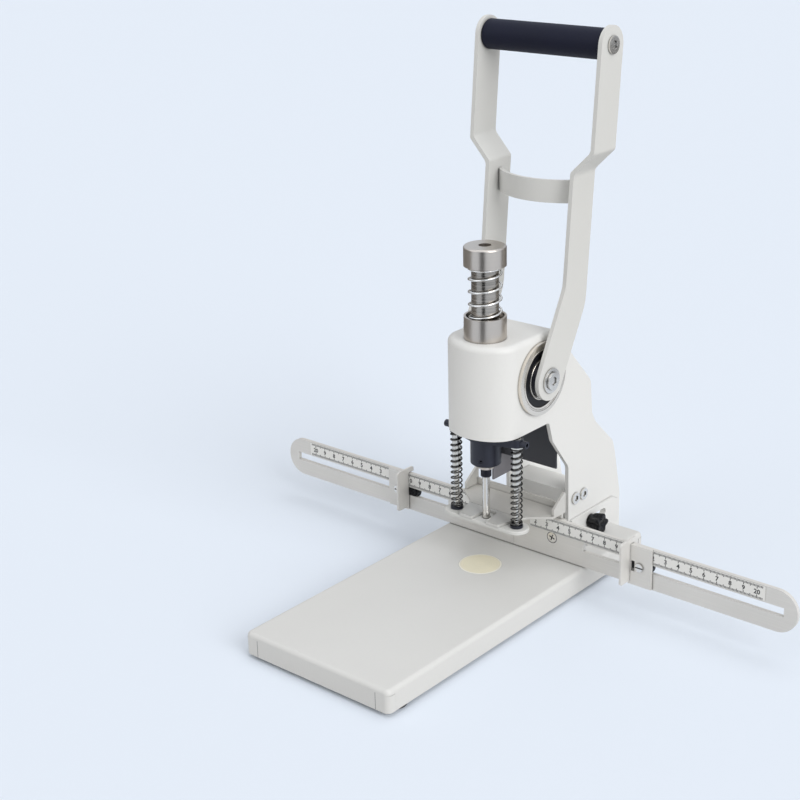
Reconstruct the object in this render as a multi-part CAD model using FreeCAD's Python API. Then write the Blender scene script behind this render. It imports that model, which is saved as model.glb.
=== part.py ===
import FreeCAD, Part
import math
import os

# Manual paper drill: a steel base, a rounded head on two walls, a rack plunger with a
# hollow drill, a forked lever with a pinion, a sprung presser plate and a sliding fence
# with two rulers and two side stops.
# Millimetres, +Z up, +X to the right of a person who faces the front, +Y to the back.
# The layout below is measured from the drill's axis on the desk. Every piece is saved
# with the origin moved to the middle of the base's footprint.

os.makedirs("parts", exist_ok=True)

V = FreeCAD.Vector
X_AXIS = V(1, 0, 0)
Y_AXIS = V(0, 1, 0)
Z_AXIS = V(0, 0, 1)

# Fits
running = 0.05          # radial gap of a shaft, rod or slider in its guide
seat_gap = 0.02         # radial gap of a piece pressed into its seat
side_gap = 0.3          # gap between bodies that pass each other

# Base
base_width = 127.0
base_front = 183.0      # drill axis to the front edge
base_rear = 110.5       # drill axis to the rear edge
base_top = 19.2         # height of the working face
base_sheet = 2.0
base_edge_radius = 3.0
base_corner_radius = 4.0
base_lip = 20.0         # return lips round the underside
foot_height = 3.0
foot_radius = 9.0
foot_rim = 1.5          # foot's edge to the outside of the base
foot_end_inset = 17.0

# Cutting pad, which is turned when a place on it is worn
pad_radius = 15.7
pad_offset = 7.5        # pad's centre in front of the drill
pad_thickness = 7.0
pad_cup_wall = 1.6
pad_cup_floor = 1.6

# Frame and head
wall = 3.0
head_half_width = 28.5
head_bulge = 22.3       # depth of the rounded front
head_straight_y = 0.2   # where the straight walls begin
head_bottom = 122.3
head_top = 190.5
head_edge_radius = 4.5
column_front = 62.6
column_rear = 131.5
block_height = 12.0     # guide blocks in the head
block_rear = 16.5
cover_sheet = 1.5
cover_y = 50.0          # black plate across the throat
cover_low = 81.1
cover_high = 137.0
rear_cover_gap = 0.1

# Plunger
rod_radius = 9.5
chip_bore = 3.2
cap_radius = 14.8
cap_bottom = 242.3
cap_height = 14.0
cap_hole = 4.4
cap_edge = 1.6
cup_radius = 14.9
cup_wall = 1.5
cup_height = 16.2
cup_floor = 1.2
chuck_radius = 11.1
chuck_bottom = 96.7
socket_depth = 7.3      # chuck's mouth up to the rod's end
socket_radius = 5.0
set_screw_radius = 1.7
set_screw_z = 101.6
set_screw_turn = 18.0   # degrees from the front towards the right
ring_radius = 5.5
collar_radius = 3.9
collar_top = 92.9
collar_bottom = 86.4
shank_radius = 3.2
drill_radius = 2.69
drill_bore = 1.9
tip_height = 51.6
tip_length = 2.2
tip_wall = 0.1
travel_margin = 0.4     # drill tip over the pad at the end of the stroke

# Rack and pinion
module = 1.5
pinion_teeth = 24
pressure_angle = 20.0
backlash = 0.12
pinion_width = 13.0
pivot_y = 25.5
pivot_z = 159.5

# Presser
guide_x = 27.0          # guide pins either side of the drill
crossbar_height = 5.8
crossbar_gap = 0.5      # under the head at rest
crossbar_boss = 13.0
crossbar_end = 4.8
clamp_screw_radius = 2.6
clamp_screw_out = 4.2
tube_radius = 3.1
tube_bottom = 85.0
tube_step = 94.5        # the pins' heads rest here
pin_radius = 2.05
pin_head_radius = 2.55
pin_head_height = 2.0
presser_float = 25.0    # how far the presser can rise on the plunger
plate_bottom = 51.5
plate_thickness = 2.5
plate_radius = 9.0
plate_hole = 3.3
fork_sheet = 2.0
fork_front = 9.5        # in front of the drill's axis
fork_rear = 9.9
nut_radius = 4.6
nut_height = 1.8
washer_outer = 4.7
washer_height = 1.0

# Springs
press_wire = 1.1
press_mean_radius = 3.9
press_turns = 15
return_wire = 1.5
return_mean_radius = 11.2
return_turns = 7
end_pitch_gap = 0.6     # clear gap in the closing turns

# Lever
arm_inner = 34.4
arm_thickness = 3.0
arm_foot_radius = 14.5
arm_width = 25.5
arm_lean_low = 28.0     # degrees from upright
arm_bend_z = 214.0
grip_y = 70.8
grip_z = 384.8
splay_low = 299.5
splay_high = 314.5
grip_inner = 49.4
grip_radius = 10.5
grip_play = 0.2
grip_rod_radius = 5.0
grip_bolt_radius = 6.0
grip_bolt_height = 1.6
strap_low = 277.6
strap_high = 293.5
strap_thickness = 2.5
strap_sagitta = 14.0

# Lever shaft and bearings
shaft_radius = 12.5
bearing_outer = 23.5
bearing_width = 12.0
ring_wall = 2.8
ball_radius = 2.8
ball_count = 12
ball_gap = 0.05
housing_radius = 26.5
housing_stand_out = 3.0
bearing_recess = 0.6
seal_thickness = 0.8
shaft_end_radius = 8.0
shaft_end_flat = 6.0
shaft_screw_radius = 4.0
shaft_screw_depth = 14.0
washer_radius = 9.0
washer_thickness = 1.2
shaft_head_radius = 6.2
shaft_head_height = 1.6
spacer_radius = 13.0

# Fence and its carriage
fence_front = 33.0
fence_thickness = 3.0
fence_bottom = 19.8
fence_height = 30.7
fence_half_length = 230.0
fence_slot_start = 62.0
fence_slot_end = 220.0
fence_slot_low = 32.1
fence_slot_high = 38.5
fence_split = 0.1
fence_screw_x = 34.5
fence_screw_z = 35.2
fence_screw_radius = 2.0
fence_screw_head = 4.0
scale_thickness = 0.4
scale_start = 15.0
scale_end = 206.0
scale_low = 39.4
scale_high = 50.0
carriage_sheet = 2.0
carriage_half_width = 44.0
deck_top = 56.0
deck_sheet = 1.8
deck_front = 10.2
deck_rear = 41.0
deck_half_width = 40.6
lip_height = 5.0
ear_front_height = 5.0
ear_rear_height = 14.5
slide_half_width = 25.4
slide_rear = 100.0
slide_height = 13.6
fence_travel = 18.0     # carriage travel to the back

# Clamp knob
knob_y = 88.0
knob_z = 27.5
knob_radius = 8.0
knob_lobe = 2.3
knob_lobes = 5
knob_length = 9.0
knob_boss_radius = 5.2
knob_stand_off = 2.5
stud_radius = 3.0
stud_slot = 3.2

# Brackets that hold the frame on the base
bracket_sheet = 2.0
bracket_top = 35.5
bracket_front = 64.4
bracket_rear = 128.0
bracket_leg = 13.5
bracket_leg_length = 9.0
bracket_bolt_radius = 2.5
bracket_bolt_head = 4.6
bracket_bolt_height = 3.2
tie_low = 5.5            # plate behind the base's rear flange
tie_high = 17.0
tie_bolt_x = 14.0
tie_bolt_z = 11.0
block_y = 75.7          # cross block behind the throat
block_z = 51.5
block_pitch = 10.5
cross_block_height = 14.0
cross_block_depth = 24.0
wall_screw_radius = 2.5
wall_screw_head = 4.4
wall_screw_height = 1.6

# Side stops
stop_x = 110.5
stop_width = 19.0
stop_sheet = 1.5
stop_plate_low = 20.3
stop_plate_high = 50.8
stop_wing_low = 22.5
stop_wing_high = 54.5
stop_wing_reach = 11.5
stop_front_gap = 0.1
slider_inner = 17.5      # the key's reach to the middle
slider_outer = 8.5
stop_window = 2.3        # window in the clip, from the wing's outside
stop_window_width = 3.0
stop_window_low = 30.8
stop_window_high = 38.8
slider_flange = 2.0
slider_flange_side = 3.0
stop_screw_radius = 2.0
stop_screw_head = 3.1
stop_screw_height = 1.8
stop_nut_radius = 4.2
stop_nut_height = 3.0

# Worked out from the sizes above
origin_y = (base_front - column_rear) / 2
stroke = tip_height - base_top - travel_margin
rod_bottom = chuck_bottom + socket_depth
pitch_radius = module * pinion_teeth / 2
tooth_pitch = math.pi * module
rack_pitch_y = pivot_y - pitch_radius
rack_tip_y = rack_pitch_y + module
rack_root_y = rack_pitch_y - 1.25 * module
lever_angle = math.degrees(stroke / pitch_radius)
crossbar_top = head_bottom - crossbar_gap
crossbar_bottom = crossbar_top - crossbar_height
plate_top = plate_bottom + plate_thickness
wall_inner = head_half_width - wall
fence_top = fence_bottom + fence_height
fence_back_face = fence_front + fence_thickness
arm_outer = arm_inner + arm_thickness
grip_outer = grip_inner + arm_thickness
housing_face = head_half_width + housing_stand_out
pad_bottom = base_top - pad_thickness


def box(x0, x1, y0, y1, z0, z1):
    """A block between two corners."""
    return Part.makeBox(x1 - x0, y1 - y0, z1 - z0, V(x0, y0, z0))


def disc(radius, length, centre, axis=Z_AXIS):
    """A cylinder that starts at centre and runs along axis."""
    return Part.makeCylinder(radius, length, centre, axis)


def ring(outer, inner, length, centre, axis=Z_AXIS):
    """A cylinder with a bore through it."""
    overrun = axis * 1.0
    return disc(outer, length, centre, axis).cut(disc(inner, length + 2, centre - overrun, axis))


def on_plane(plane, a, b):
    """A point of a flat outline, placed on the XY, XZ or YZ plane."""
    if plane == "XY":
        return V(a, b, 0)
    if plane == "XZ":
        return V(a, 0, b)
    return V(0, a, b)


def rounded_outline(points, plane):
    """A closed outline of straight edges. Each point is (a, b, corner radius)."""
    flat = [V(p[0], p[1], 0) for p in points]
    ends = []
    for i, corner in enumerate(flat):
        before = (flat[i - 1] - corner).normalize()
        after = (flat[(i + 1) % len(flat)] - corner).normalize()
        radius = points[i][2] if len(points[i]) > 2 else 0
        if radius == 0:
            ends.append((corner, None, corner))
            continue
        half = math.acos(max(-1, min(1, before.dot(after)))) / 2
        run = radius / math.tan(half)
        middle_way = (before + after).normalize()
        centre = corner + middle_way * (radius / math.sin(half))
        ends.append((corner + before * run, centre - middle_way * radius, corner + after * run))
    edges = []
    for i, (start, middle, end) in enumerate(ends):
        following = ends[(i + 1) % len(ends)][0]
        if middle is not None:
            three = [on_plane(plane, q.x, q.y) for q in (start, middle, end)]
            edges.append(Part.Arc(*three).toShape())
        if end.distanceToPoint(following) > 1e-6:
            edges.append(Part.LineSegment(on_plane(plane, end.x, end.y),
                                          on_plane(plane, following.x, following.y)).toShape())
    return Part.Face(Part.Wire(edges))


def prism(points, plane, start, end):
    """An outline made solid between two distances along the plane's normal."""
    normal = {"XY": Z_AXIS, "XZ": Y_AXIS, "YZ": X_AXIS}[plane]
    face = rounded_outline(points, plane)
    face.translate(normal * start)
    return face.extrude(normal * (end - start))


def hexagon(across_corners_radius, length, centre, axis):
    """A hexagon nut or screw head that starts at centre and runs along axis."""
    turn = FreeCAD.Rotation(Z_AXIS, axis)
    corners = [centre + turn.multVec(V(across_corners_radius * math.cos(math.radians(60 * i)),
                                       across_corners_radius * math.sin(math.radians(60 * i)), 0))
               for i in range(6)]
    return Part.Face(Part.makePolygon(corners + corners[:1])).extrude(axis * length)


def socket_screw(shank_radius, shank_length, head_radius, head_height, face_point, outward):
    """A screw whose head sits on face_point, with a hexagon socket in it."""
    head = disc(head_radius, head_height, face_point, outward)
    shank = disc(shank_radius, shank_length, face_point, outward * -1)
    socket = hexagon(head_radius * 0.55, head_height * 0.6 + 1, face_point + outward * (head_height * 0.4),
                     outward)
    return head.fuse(shank).cut(socket)


def mirrored(shape):
    """The same piece on the other side of the drill."""
    return shape.mirror(V(0, 0, 0), X_AXIS)


def save(name, *solids):
    """Moves the solids to the footprint's middle and writes one node."""
    moved = []
    for solid in solids:
        copy = solid.removeSplitter()
        copy.translate(V(0, origin_y, 0))
        moved += copy.Solids
    shape = moved[0] if len(moved) == 1 else Part.makeCompound(moved)
    shape.exportStep("parts/" + name + ".step")
    print(name, "solids", len(moved), "volume", round(sum(s.Volume for s in moved), 1))


# Base plate, feet and cutting pad

def base_plate():
    """A folded steel tray: working face, four flanges and two return lips."""
    half = base_width / 2
    outer = box(-half, half, -base_front, base_rear, foot_height, base_top)
    upright = [e for e in outer.Edges if abs(e.tangentAt(e.FirstParameter).z) > 0.9]
    outer = outer.makeFillet(base_corner_radius, upright)
    upper = [e for e in outer.Edges if e.BoundBox.ZMin > base_top - 0.01]
    outer = outer.makeFillet(base_edge_radius, upper)
    t = base_sheet
    hollow = box(-half + t, half - t, -base_front + t, base_rear - t, foot_height + t, base_top - t)
    mouth = box(-half + base_lip, half - base_lip, -base_front + base_lip, base_rear - base_lip,
                foot_height - 1, foot_height + t + 1)
    shell = outer.cut(hollow).cut(mouth)
    shell = shell.fuse(pad_cup())
    mouth = V(0, -pad_offset, base_top - base_sheet - 1)
    shell = shell.cut(disc(pad_radius + running, base_sheet + 2, mouth))
    for side in (-1, 1):
        for y in bracket_bolt_places():
            spot = V(side * bracket_bolt_x(), y, base_top - base_sheet - 1)
            shell = shell.cut(disc(bracket_bolt_radius + seat_gap, base_sheet + 2, spot))
        spot = V(side * tie_bolt_x, base_rear - base_sheet - 1, tie_bolt_z)
        shell = shell.cut(disc(bracket_bolt_radius + seat_gap, base_sheet + 2, spot, Y_AXIS))
    return shell


def foot_places():
    """The four feet's centres."""
    x = base_width / 2 - foot_rim - foot_radius
    return [(sx * x, y) for sx in (-1, 1)
            for y in (-base_front + foot_end_inset, base_rear - foot_end_inset)]


def foot(x, y):
    """A round rubber foot stuck under the lip."""
    body = disc(foot_radius, foot_height, V(x, y, 0))
    return body.makeFillet(0.8, [e for e in body.Edges if e.BoundBox.ZMax < 0.01])


def pad_cup():
    """The steel cup welded under the working face that holds the pad."""
    outer = pad_radius + running + pad_cup_wall
    top = base_top - base_sheet
    floor_top = pad_bottom - running
    body = disc(outer, top - (floor_top - pad_cup_floor), V(0, -pad_offset, floor_top - pad_cup_floor))
    return body.cut(disc(pad_radius + running, pad_thickness + 1, V(0, -pad_offset, floor_top)))


def cutting_pad():
    """The soft disc that the drill runs into."""
    pad = disc(pad_radius, pad_thickness, V(0, -pad_offset, pad_bottom))
    return pad.makeFillet(0.5, [e for e in pad.Edges if e.BoundBox.ZMin > base_top - 0.01])


# Frame

def side_profile():
    """The head and column seen from the right, as (Y, Z, radius)."""
    front = -head_bulge - 8
    return [(front, head_bottom), (36.5, head_bottom, 3), (41.3, 106.3, 6), (61.5, 79.8, 8),
            (column_front, base_top), (base_rear + side_gap, base_top), (base_rear + side_gap, foot_height),
            (column_rear, foot_height, 4), (column_rear - 0.7, 36),
            (123, 71.5, 6), (119.8, 81.5, 8), (96, 104.5, 8), (91, 113, 6), (88.5, 139.5, 8),
            (42, head_top), (front, head_top)]


def plan_prism(inset, z0, z1, rear):
    """The head's plan: straight sides and a rounded front, inset all round."""
    half = head_half_width - inset
    depth = head_bulge - inset
    y = head_straight_y
    oval = Part.Ellipse(V(0, y, z0), half, depth)
    front = Part.ArcOfEllipse(oval, math.pi, 2 * math.pi).toShape()
    corners = [V(half, y, z0), V(half, rear, z0), V(-half, rear, z0), V(-half, y, z0)]
    sides = [Part.LineSegment(a, b).toShape() for a, b in zip(corners, corners[1:])]
    return Part.Face(Part.Wire([front] + sides)).extrude(V(0, 0, z1 - z0))


def frame_shell():
    """The rounded head and the two column walls, one welded steel shell."""
    side = prism(side_profile(), "YZ", -head_half_width - 5, head_half_width + 5)
    body = side.common(plan_prism(0, 0, head_top + 10, column_rear + 10))
    rim = [e for e in body.Edges
           if e.BoundBox.ZMin > head_top - 0.01 and e.BoundBox.YMin < column_front and
           e.BoundBox.DiagonalLength > 30 and e.BoundBox.YMax < 43 and e.BoundBox.YMin < 41]
    rim = [e for e in rim if not (e.BoundBox.XLength > 40 and e.BoundBox.YLength < 0.1)]
    body = body.makeFillet(head_edge_radius, rim)
    body = body.cut(plan_prism(wall, 0, head_top - wall, column_rear + 20))
    body = body.cut(disc(rod_radius + running, 3 * wall, V(0, 0, head_top - 2 * wall)))
    for side_x in (-1, 1):
        axis = X_AXIS * side_x
        body = body.cut(disc(housing_radius, wall + 4, V(side_x * (wall_inner - 2), pivot_y, pivot_z), axis))
        for y in wall_screw_places():
            spot = V(side_x * (wall_inner - 2), y, block_z)
            body = body.cut(disc(wall_screw_radius + seat_gap, wall + 4, spot, axis))
    return body.cut(stud_slot_cut(wall_inner - 1, head_half_width + 1))


def stud_slot_cut(x0, x1):
    """The slot along the right wall that the clamp stud slides in."""
    y0 = knob_y
    y1 = knob_y + fence_travel
    slot = box(x0, x1, y0, y1, knob_z - stud_slot, knob_z + stud_slot)
    for y in (y0, y1):
        slot = slot.fuse(disc(stud_slot, x1 - x0, V(x0, y, knob_z), X_AXIS))
    return slot


def wall_screw_places():
    """The Y places of the cross block's screws in each wall."""
    return [block_y - block_pitch / 2, block_y + block_pitch / 2]


def rear_cover():
    """A folded sheet between the walls that closes the back of the head."""
    line = [(105.6, 95.2), (95.5, 105.0), (90.6, 114.0), (88.6, 140.5), (46.0, 186.6)]
    inset = 0.8
    outer = [V(0, y - inset, z - inset * 0.4) for y, z in line]
    inner = [p + V(0, -cover_sheet * 1.1, -cover_sheet * 0.45) for p in outer]
    face = Part.Face(Part.makePolygon(outer + inner[::-1] + outer[:1]))
    face.translate(V(-wall_inner + rear_cover_gap, 0, 0))
    return face.extrude(V(2 * (wall_inner - rear_cover_gap), 0, 0))


def guide_block(z0):
    """A block inside the head, bored for its bush, cut clear of the housings and the pinion."""
    body = plan_prism(wall, z0, z0 + block_height, block_rear)
    inside = housing_back() - side_gap
    for side in (-1, 1):
        start = V(side * inside, pivot_y, pivot_z)
        body = body.cut(disc(housing_radius + side_gap, 20, start, X_AXIS * side))
    half = pinion_width / 2 + side_gap
    start = V(-half, pivot_y, pivot_z)
    body = body.cut(disc(pitch_radius + module + side_gap, 2 * half, start, X_AXIS))
    return body.cut(disc(rod_radius + bush_wall() + seat_gap, block_height + 2, V(0, 0, z0 - 1)))


def bush_wall():
    """The wall of the plunger's bushes."""
    return 2.5


def plunger_bush(z0):
    """A bronze bush that guides the plunger."""
    return ring(rod_radius + bush_wall(), rod_radius + running, block_height, V(0, 0, z0))


def throat_cover():
    """The black plate that hangs across the throat, with a flange on each wall."""
    half = wall_inner - rear_cover_gap
    plate = box(-half, half, cover_y, cover_y + cover_sheet, cover_low, cover_high)
    for x in (-half, half - cover_sheet):
        plate = plate.fuse(box(x, x + cover_sheet, cover_y, cover_y + 12, 100.0, cover_high))
    return plate


def side_guard():
    """The shaded plate inside the left wall, beside the throat."""
    x0 = -wall_inner
    outline = [(40.2, 63.0), (61.0, 63.0), (66.0, 66.0, 3), (66.0, cover_low - side_gap),
               (cover_y - running, cover_low - side_gap), (cover_y - running, 118.0), (40.2, 118.0)]
    return prism(outline, "YZ", x0 + rear_cover_gap, x0 + rear_cover_gap + cover_sheet)


def cross_block():
    """The block that ties the two walls together behind the throat."""
    half_depth = cross_block_depth / 2
    body = box(-wall_inner, wall_inner, block_y - half_depth, block_y + half_depth,
               block_z - cross_block_height / 2, block_z + cross_block_height / 2)
    for side in (-1, 1):
        for y in wall_screw_places():
            body = body.cut(disc(wall_screw_radius + seat_gap, 12, V(side * wall_inner, y, block_z),
                                 X_AXIS * -side))
    return body


def wall_screws():
    """Two socket screws in each wall."""
    return [socket_screw(wall_screw_radius, wall + 10, wall_screw_head, wall_screw_height,
                         V(side * head_half_width, y, block_z), X_AXIS * side)
            for side in (-1, 1) for y in wall_screw_places()]


def bracket_bolt_places():
    """The Y place of the bolt in each bracket's leg."""
    return [bracket_front + bracket_leg_length / 2]


def bracket_bolt_x():
    """The bolts' distance from the middle."""
    return head_half_width + bracket_sheet + bracket_leg / 2


def foot_bracket():
    """The right angle bracket: a strip on the wall and a leg on the base."""
    x0 = head_half_width
    x1 = x0 + bracket_sheet
    outline = [(bracket_front, base_top), (bracket_rear, base_top), (bracket_rear, bracket_top - 5.0),
               (bracket_rear - 9.0, bracket_top), (bracket_front, bracket_top)]
    body = prism(outline, "YZ", x0, x1)
    for y in bracket_bolt_places():
        leg = box(x0, x1 + bracket_leg, y - bracket_leg_length / 2, y + bracket_leg_length / 2,
                  base_top, base_top + bracket_sheet)
        leg = leg.cut(disc(bracket_bolt_radius + seat_gap, bracket_sheet + 2,
                           V(bracket_bolt_x(), y, base_top - 1)))
        body = body.fuse(leg)
    return body


def rear_tie():
    """The plate between the walls that is bolted to the base's rear flange."""
    plate = box(-wall_inner, wall_inner, base_rear, base_rear + bracket_sheet, tie_low, tie_high)
    for x in (-tie_bolt_x, tie_bolt_x):
        plate = plate.cut(disc(bracket_bolt_radius + seat_gap, 10, V(x, base_rear - 4, tie_bolt_z), Y_AXIS))
    return plate


def tie_bolts():
    """Two hexagon bolts through the tie and the base's rear flange, with nuts inside."""
    bolts = []
    for x in (-tie_bolt_x, tie_bolt_x):
        back = base_rear + bracket_sheet
        inside = base_rear - base_sheet
        head = hexagon(bracket_bolt_head, bracket_bolt_height, V(x, back, tie_bolt_z), Y_AXIS)
        shank = disc(bracket_bolt_radius, back - inside + 4, V(x, inside - 4, tie_bolt_z), Y_AXIS)
        nut = hexagon(bracket_bolt_head, bracket_bolt_height, V(x, inside, tie_bolt_z), V(0, -1, 0))
        bolts.append(head.fuse(shank).fuse(nut))
    return bolts


def bracket_bolts():
    """Hexagon bolts through the legs and the base, with nuts below."""
    bolts = []
    for side in (-1, 1):
        for y in bracket_bolt_places():
            centre = V(side * bracket_bolt_x(), y, base_top + bracket_sheet)
            head = hexagon(bracket_bolt_head, bracket_bolt_height, centre, Z_AXIS)
            under = base_top - base_sheet
            shank = disc(bracket_bolt_radius, centre.z - under + 4, V(centre.x, y, under - 4))
            nut_spot = V(centre.x, y, under - bracket_bolt_height)
            nut = hexagon(bracket_bolt_head, bracket_bolt_height, nut_spot, Z_AXIS)
            bolts.append(head.fuse(shank).fuse(nut))
    return bolts


# Bearings of the lever shaft

def bearing_housing():
    """The turned ring welded into the right wall."""
    back = housing_back()
    body = ring(housing_radius, bearing_outer, housing_face - back, V(back, pivot_y, pivot_z), X_AXIS)
    lip = ring(housing_radius, bearing_outer - 1.5, 1.5, V(back, pivot_y, pivot_z), X_AXIS)
    return body.fuse(lip)


def housing_back():
    """X of the right housing's inner face, behind the bearing's shoulder."""
    return housing_face - bearing_recess - bearing_width - 1.5


def race_groove(extra):
    """The torus that both rings' grooves are cut with."""
    return Part.makeTorus(ball_track(), ball_radius + extra, V(bearing_middle(), pivot_y, pivot_z), X_AXIS)


def ball_track():
    """Radius of the circle through the balls' centres."""
    return (shaft_radius + bearing_outer) / 2


def bearing_back():
    """X of the right bearing's inner face."""
    return housing_face - bearing_recess - bearing_width


def bearing_middle():
    """X of the right bearing's middle."""
    return bearing_back() + bearing_width / 2


def outer_race():
    """The right bearing's outer ring."""
    body = ring(bearing_outer, bearing_outer - ring_wall, bearing_width, V(bearing_back(), pivot_y, pivot_z),
                X_AXIS)
    return body.cut(race_groove(ball_gap))


def inner_race():
    """The right bearing's inner ring."""
    body = ring(shaft_radius + ring_wall, shaft_radius + seat_gap, bearing_width,
                V(bearing_back(), pivot_y, pivot_z), X_AXIS)
    return body.cut(race_groove(ball_gap))


def bearing_seals():
    """Black seals on both faces of the right bearing."""
    starts = (bearing_back() + 0.4, bearing_back() + bearing_width - 0.4 - seal_thickness)
    return [ring(bearing_outer - ring_wall, shaft_radius + ring_wall + running, seal_thickness,
                 V(x, pivot_y, pivot_z), X_AXIS) for x in starts]


def bearing_balls():
    """The right bearing's balls."""
    balls = []
    for i in range(ball_count):
        turn = 2 * math.pi * i / ball_count
        centre = V(bearing_middle(), pivot_y + ball_track() * math.cos(turn),
                   pivot_z + ball_track() * math.sin(turn))
        balls.append(Part.makeSphere(ball_radius, centre))
    return balls


# Plunger

def rack_gap(z):
    """One straight-sided gap between rack teeth, cut across the rod."""
    half_pitch_width = (tooth_pitch / 2 + backlash) / 2
    slope = math.tan(math.radians(pressure_angle))
    low = half_pitch_width - (rack_pitch_y - rack_root_y) * slope
    high = half_pitch_width + (rod_radius + 1 - rack_pitch_y) * slope
    outline = [(rack_root_y, z - low), (rack_root_y, z + low), (rod_radius + 1, z + high),
               (rod_radius + 1, z - high)]
    return prism(outline, "YZ", -rod_radius, rod_radius)


def plunger():
    """The round steel rod with its rack at the back and a chip bore through it."""
    top = cap_bottom + cap_height - 4.0
    body = disc(rod_radius, top - rod_bottom, V(0, 0, rod_bottom))
    reach = math.sqrt((pitch_radius + module) ** 2 - (pivot_y - rod_radius) ** 2) + 1.0
    low = pivot_z - reach
    high = pivot_z + stroke + reach
    body = body.cut(box(-rod_radius, rod_radius, rack_tip_y, rod_radius + 1, low, high))
    first = -int((reach + 1.0) / tooth_pitch)
    last = int((stroke + reach + 1.0) / tooth_pitch)
    for i in range(first, last + 1):
        body = body.cut(rack_gap(pivot_z + i * tooth_pitch))
    return body.cut(disc(chip_bore, top - rod_bottom + 2, V(0, 0, rod_bottom - 1)))


def cap():
    """The nickel cap on the rod's top, open in the middle for the chips."""
    body = disc(cap_radius, cap_height, V(0, 0, cap_bottom))
    rims = [e for e in body.Edges if e.BoundBox.ZLength < 0.01]
    body = body.makeFillet(cap_edge, [e for e in rims if e.BoundBox.ZMin > cap_bottom + 1])
    body = body.cut(disc(rod_radius + seat_gap, cap_height - 4.0 + 1, V(0, 0, cap_bottom - 1)))
    return body.cut(disc(cap_hole, cap_height + 2, V(0, 0, cap_bottom - 1)))


def spring_cup():
    """The open nickel cup on the head that holds the return spring."""
    body = disc(cup_radius, cup_height, V(0, 0, head_top))
    body = body.cut(disc(cup_radius - cup_wall, cup_height, V(0, 0, head_top + cup_floor)))
    return body.cut(disc(rod_radius + running, cup_floor + 2, V(0, 0, head_top - 1)))


def chuck():
    """The dark chuck body on the rod's lower end."""
    height = crossbar_bottom - chuck_bottom
    body = disc(chuck_radius, height, V(0, 0, chuck_bottom))
    body = body.makeChamfer(0.8, [e for e in body.Edges if e.BoundBox.ZMax < chuck_bottom + 0.01])
    body = body.cut(disc(socket_radius, height, V(0, 0, chuck_bottom - 1)))
    body = body.cut(disc(rod_radius + seat_gap, height, V(0, 0, rod_bottom)))
    return body.cut(disc(set_screw_radius + seat_gap, chuck_radius, V(0, 0, set_screw_z), set_screw_way()))


def set_screw_way():
    """The way the chuck's set screw faces."""
    turn = math.radians(set_screw_turn)
    return V(math.sin(turn), -math.cos(turn), 0)


def set_screw():
    """The set screw that holds the drill's socket in the chuck."""
    way = set_screw_way()
    start = V(0, 0, set_screw_z) + way * (socket_radius + seat_gap)
    length = chuck_radius - 0.5 - socket_radius
    body = disc(set_screw_radius, length, start, way)
    return body.cut(hexagon(0.9, 3.0, start + way * (length - 1.5), way))


def chuck_ring():
    """The bright ring below the chuck, with the socket that the drill's shank sits in."""
    body = disc(ring_radius, chuck_bottom - collar_top, V(0, 0, collar_top))
    body = body.fuse(disc(socket_radius - seat_gap, rod_bottom - chuck_bottom, V(0, 0, chuck_bottom)))
    return body.cut(disc(shank_radius + seat_gap, 20, V(0, 0, collar_top - 1)))


def bit_collar():
    """The black collar on the drill's shank."""
    height = collar_top - collar_bottom
    return ring(collar_radius, shank_radius + seat_gap, height, V(0, 0, collar_bottom))


def hollow_drill():
    """The hollow drill: shank, thin tube and ground tip."""
    shank = disc(shank_radius, rod_bottom - collar_bottom, V(0, 0, collar_bottom))
    tube = disc(drill_radius, collar_bottom - tip_height - tip_length, V(0, 0, tip_height + tip_length))
    tip = Part.makeCone(drill_bore + tip_wall, drill_radius, tip_length, V(0, 0, tip_height))
    body = shank.fuse(tube).fuse(tip)
    return body.cut(disc(drill_bore, rod_bottom - tip_height + 2, V(0, 0, tip_height - 1)))


# Crossbar and presser

def lozenge(centre_radius, end_radius, end_x, z0, z1):
    """A plate with a round middle that narrows to two round ends."""
    spread = math.asin((centre_radius - end_radius) / end_x)
    cx = centre_radius * math.sin(spread)
    cy = centre_radius * math.cos(spread)
    ex = end_x + end_radius * math.sin(spread)
    ey = end_radius * math.cos(spread)
    flat = [V(-ex, ey, z0), V(-cx, cy, z0), V(cx, cy, z0), V(ex, ey, z0), V(ex, -ey, z0), V(cx, -cy, z0),
            V(-cx, -cy, z0), V(-ex, -ey, z0)]
    body = Part.Face(Part.makePolygon(flat + flat[:1])).extrude(V(0, 0, z1 - z0))
    body = body.fuse(disc(centre_radius, z1 - z0, V(0, 0, z0)))
    for side in (-1, 1):
        body = body.fuse(disc(end_radius, z1 - z0, V(side * end_x, 0, z0)))
    return body.removeSplitter()


def crossbar():
    """The black bar on the plunger that carries the two guide tubes."""
    body = lozenge(crossbar_boss, crossbar_end, guide_x, crossbar_bottom, crossbar_top)
    body = body.cut(disc(rod_radius + seat_gap, crossbar_height + 2, V(0, 0, crossbar_bottom - 1)))
    for side in (-1, 1):
        spot = V(side * guide_x, 0, crossbar_bottom - 1)
        body = body.cut(disc(tube_radius + seat_gap, crossbar_height + 2, spot))
    return body


def clamp_screws():
    """The screw in each end of the crossbar that clamps its guide tube."""
    z = (crossbar_bottom + crossbar_top) / 2 - 0.3
    screws = []
    for side in (-1, 1):
        screw = disc(clamp_screw_radius, clamp_screw_out + 1.5,
                     V(side * (guide_x + crossbar_end - 1.5), 0, z), X_AXIS * side)
        screw = screw.cut(disc(crossbar_end, 20, V(side * guide_x, 0, z - 10)))
        outer = side * (guide_x + crossbar_end + clamp_screw_out)
        screws.append(screw.cut(hexagon(1.5, 3.0, V(outer - side * 1.8, 0, z), X_AXIS * side)))
    return screws


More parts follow.
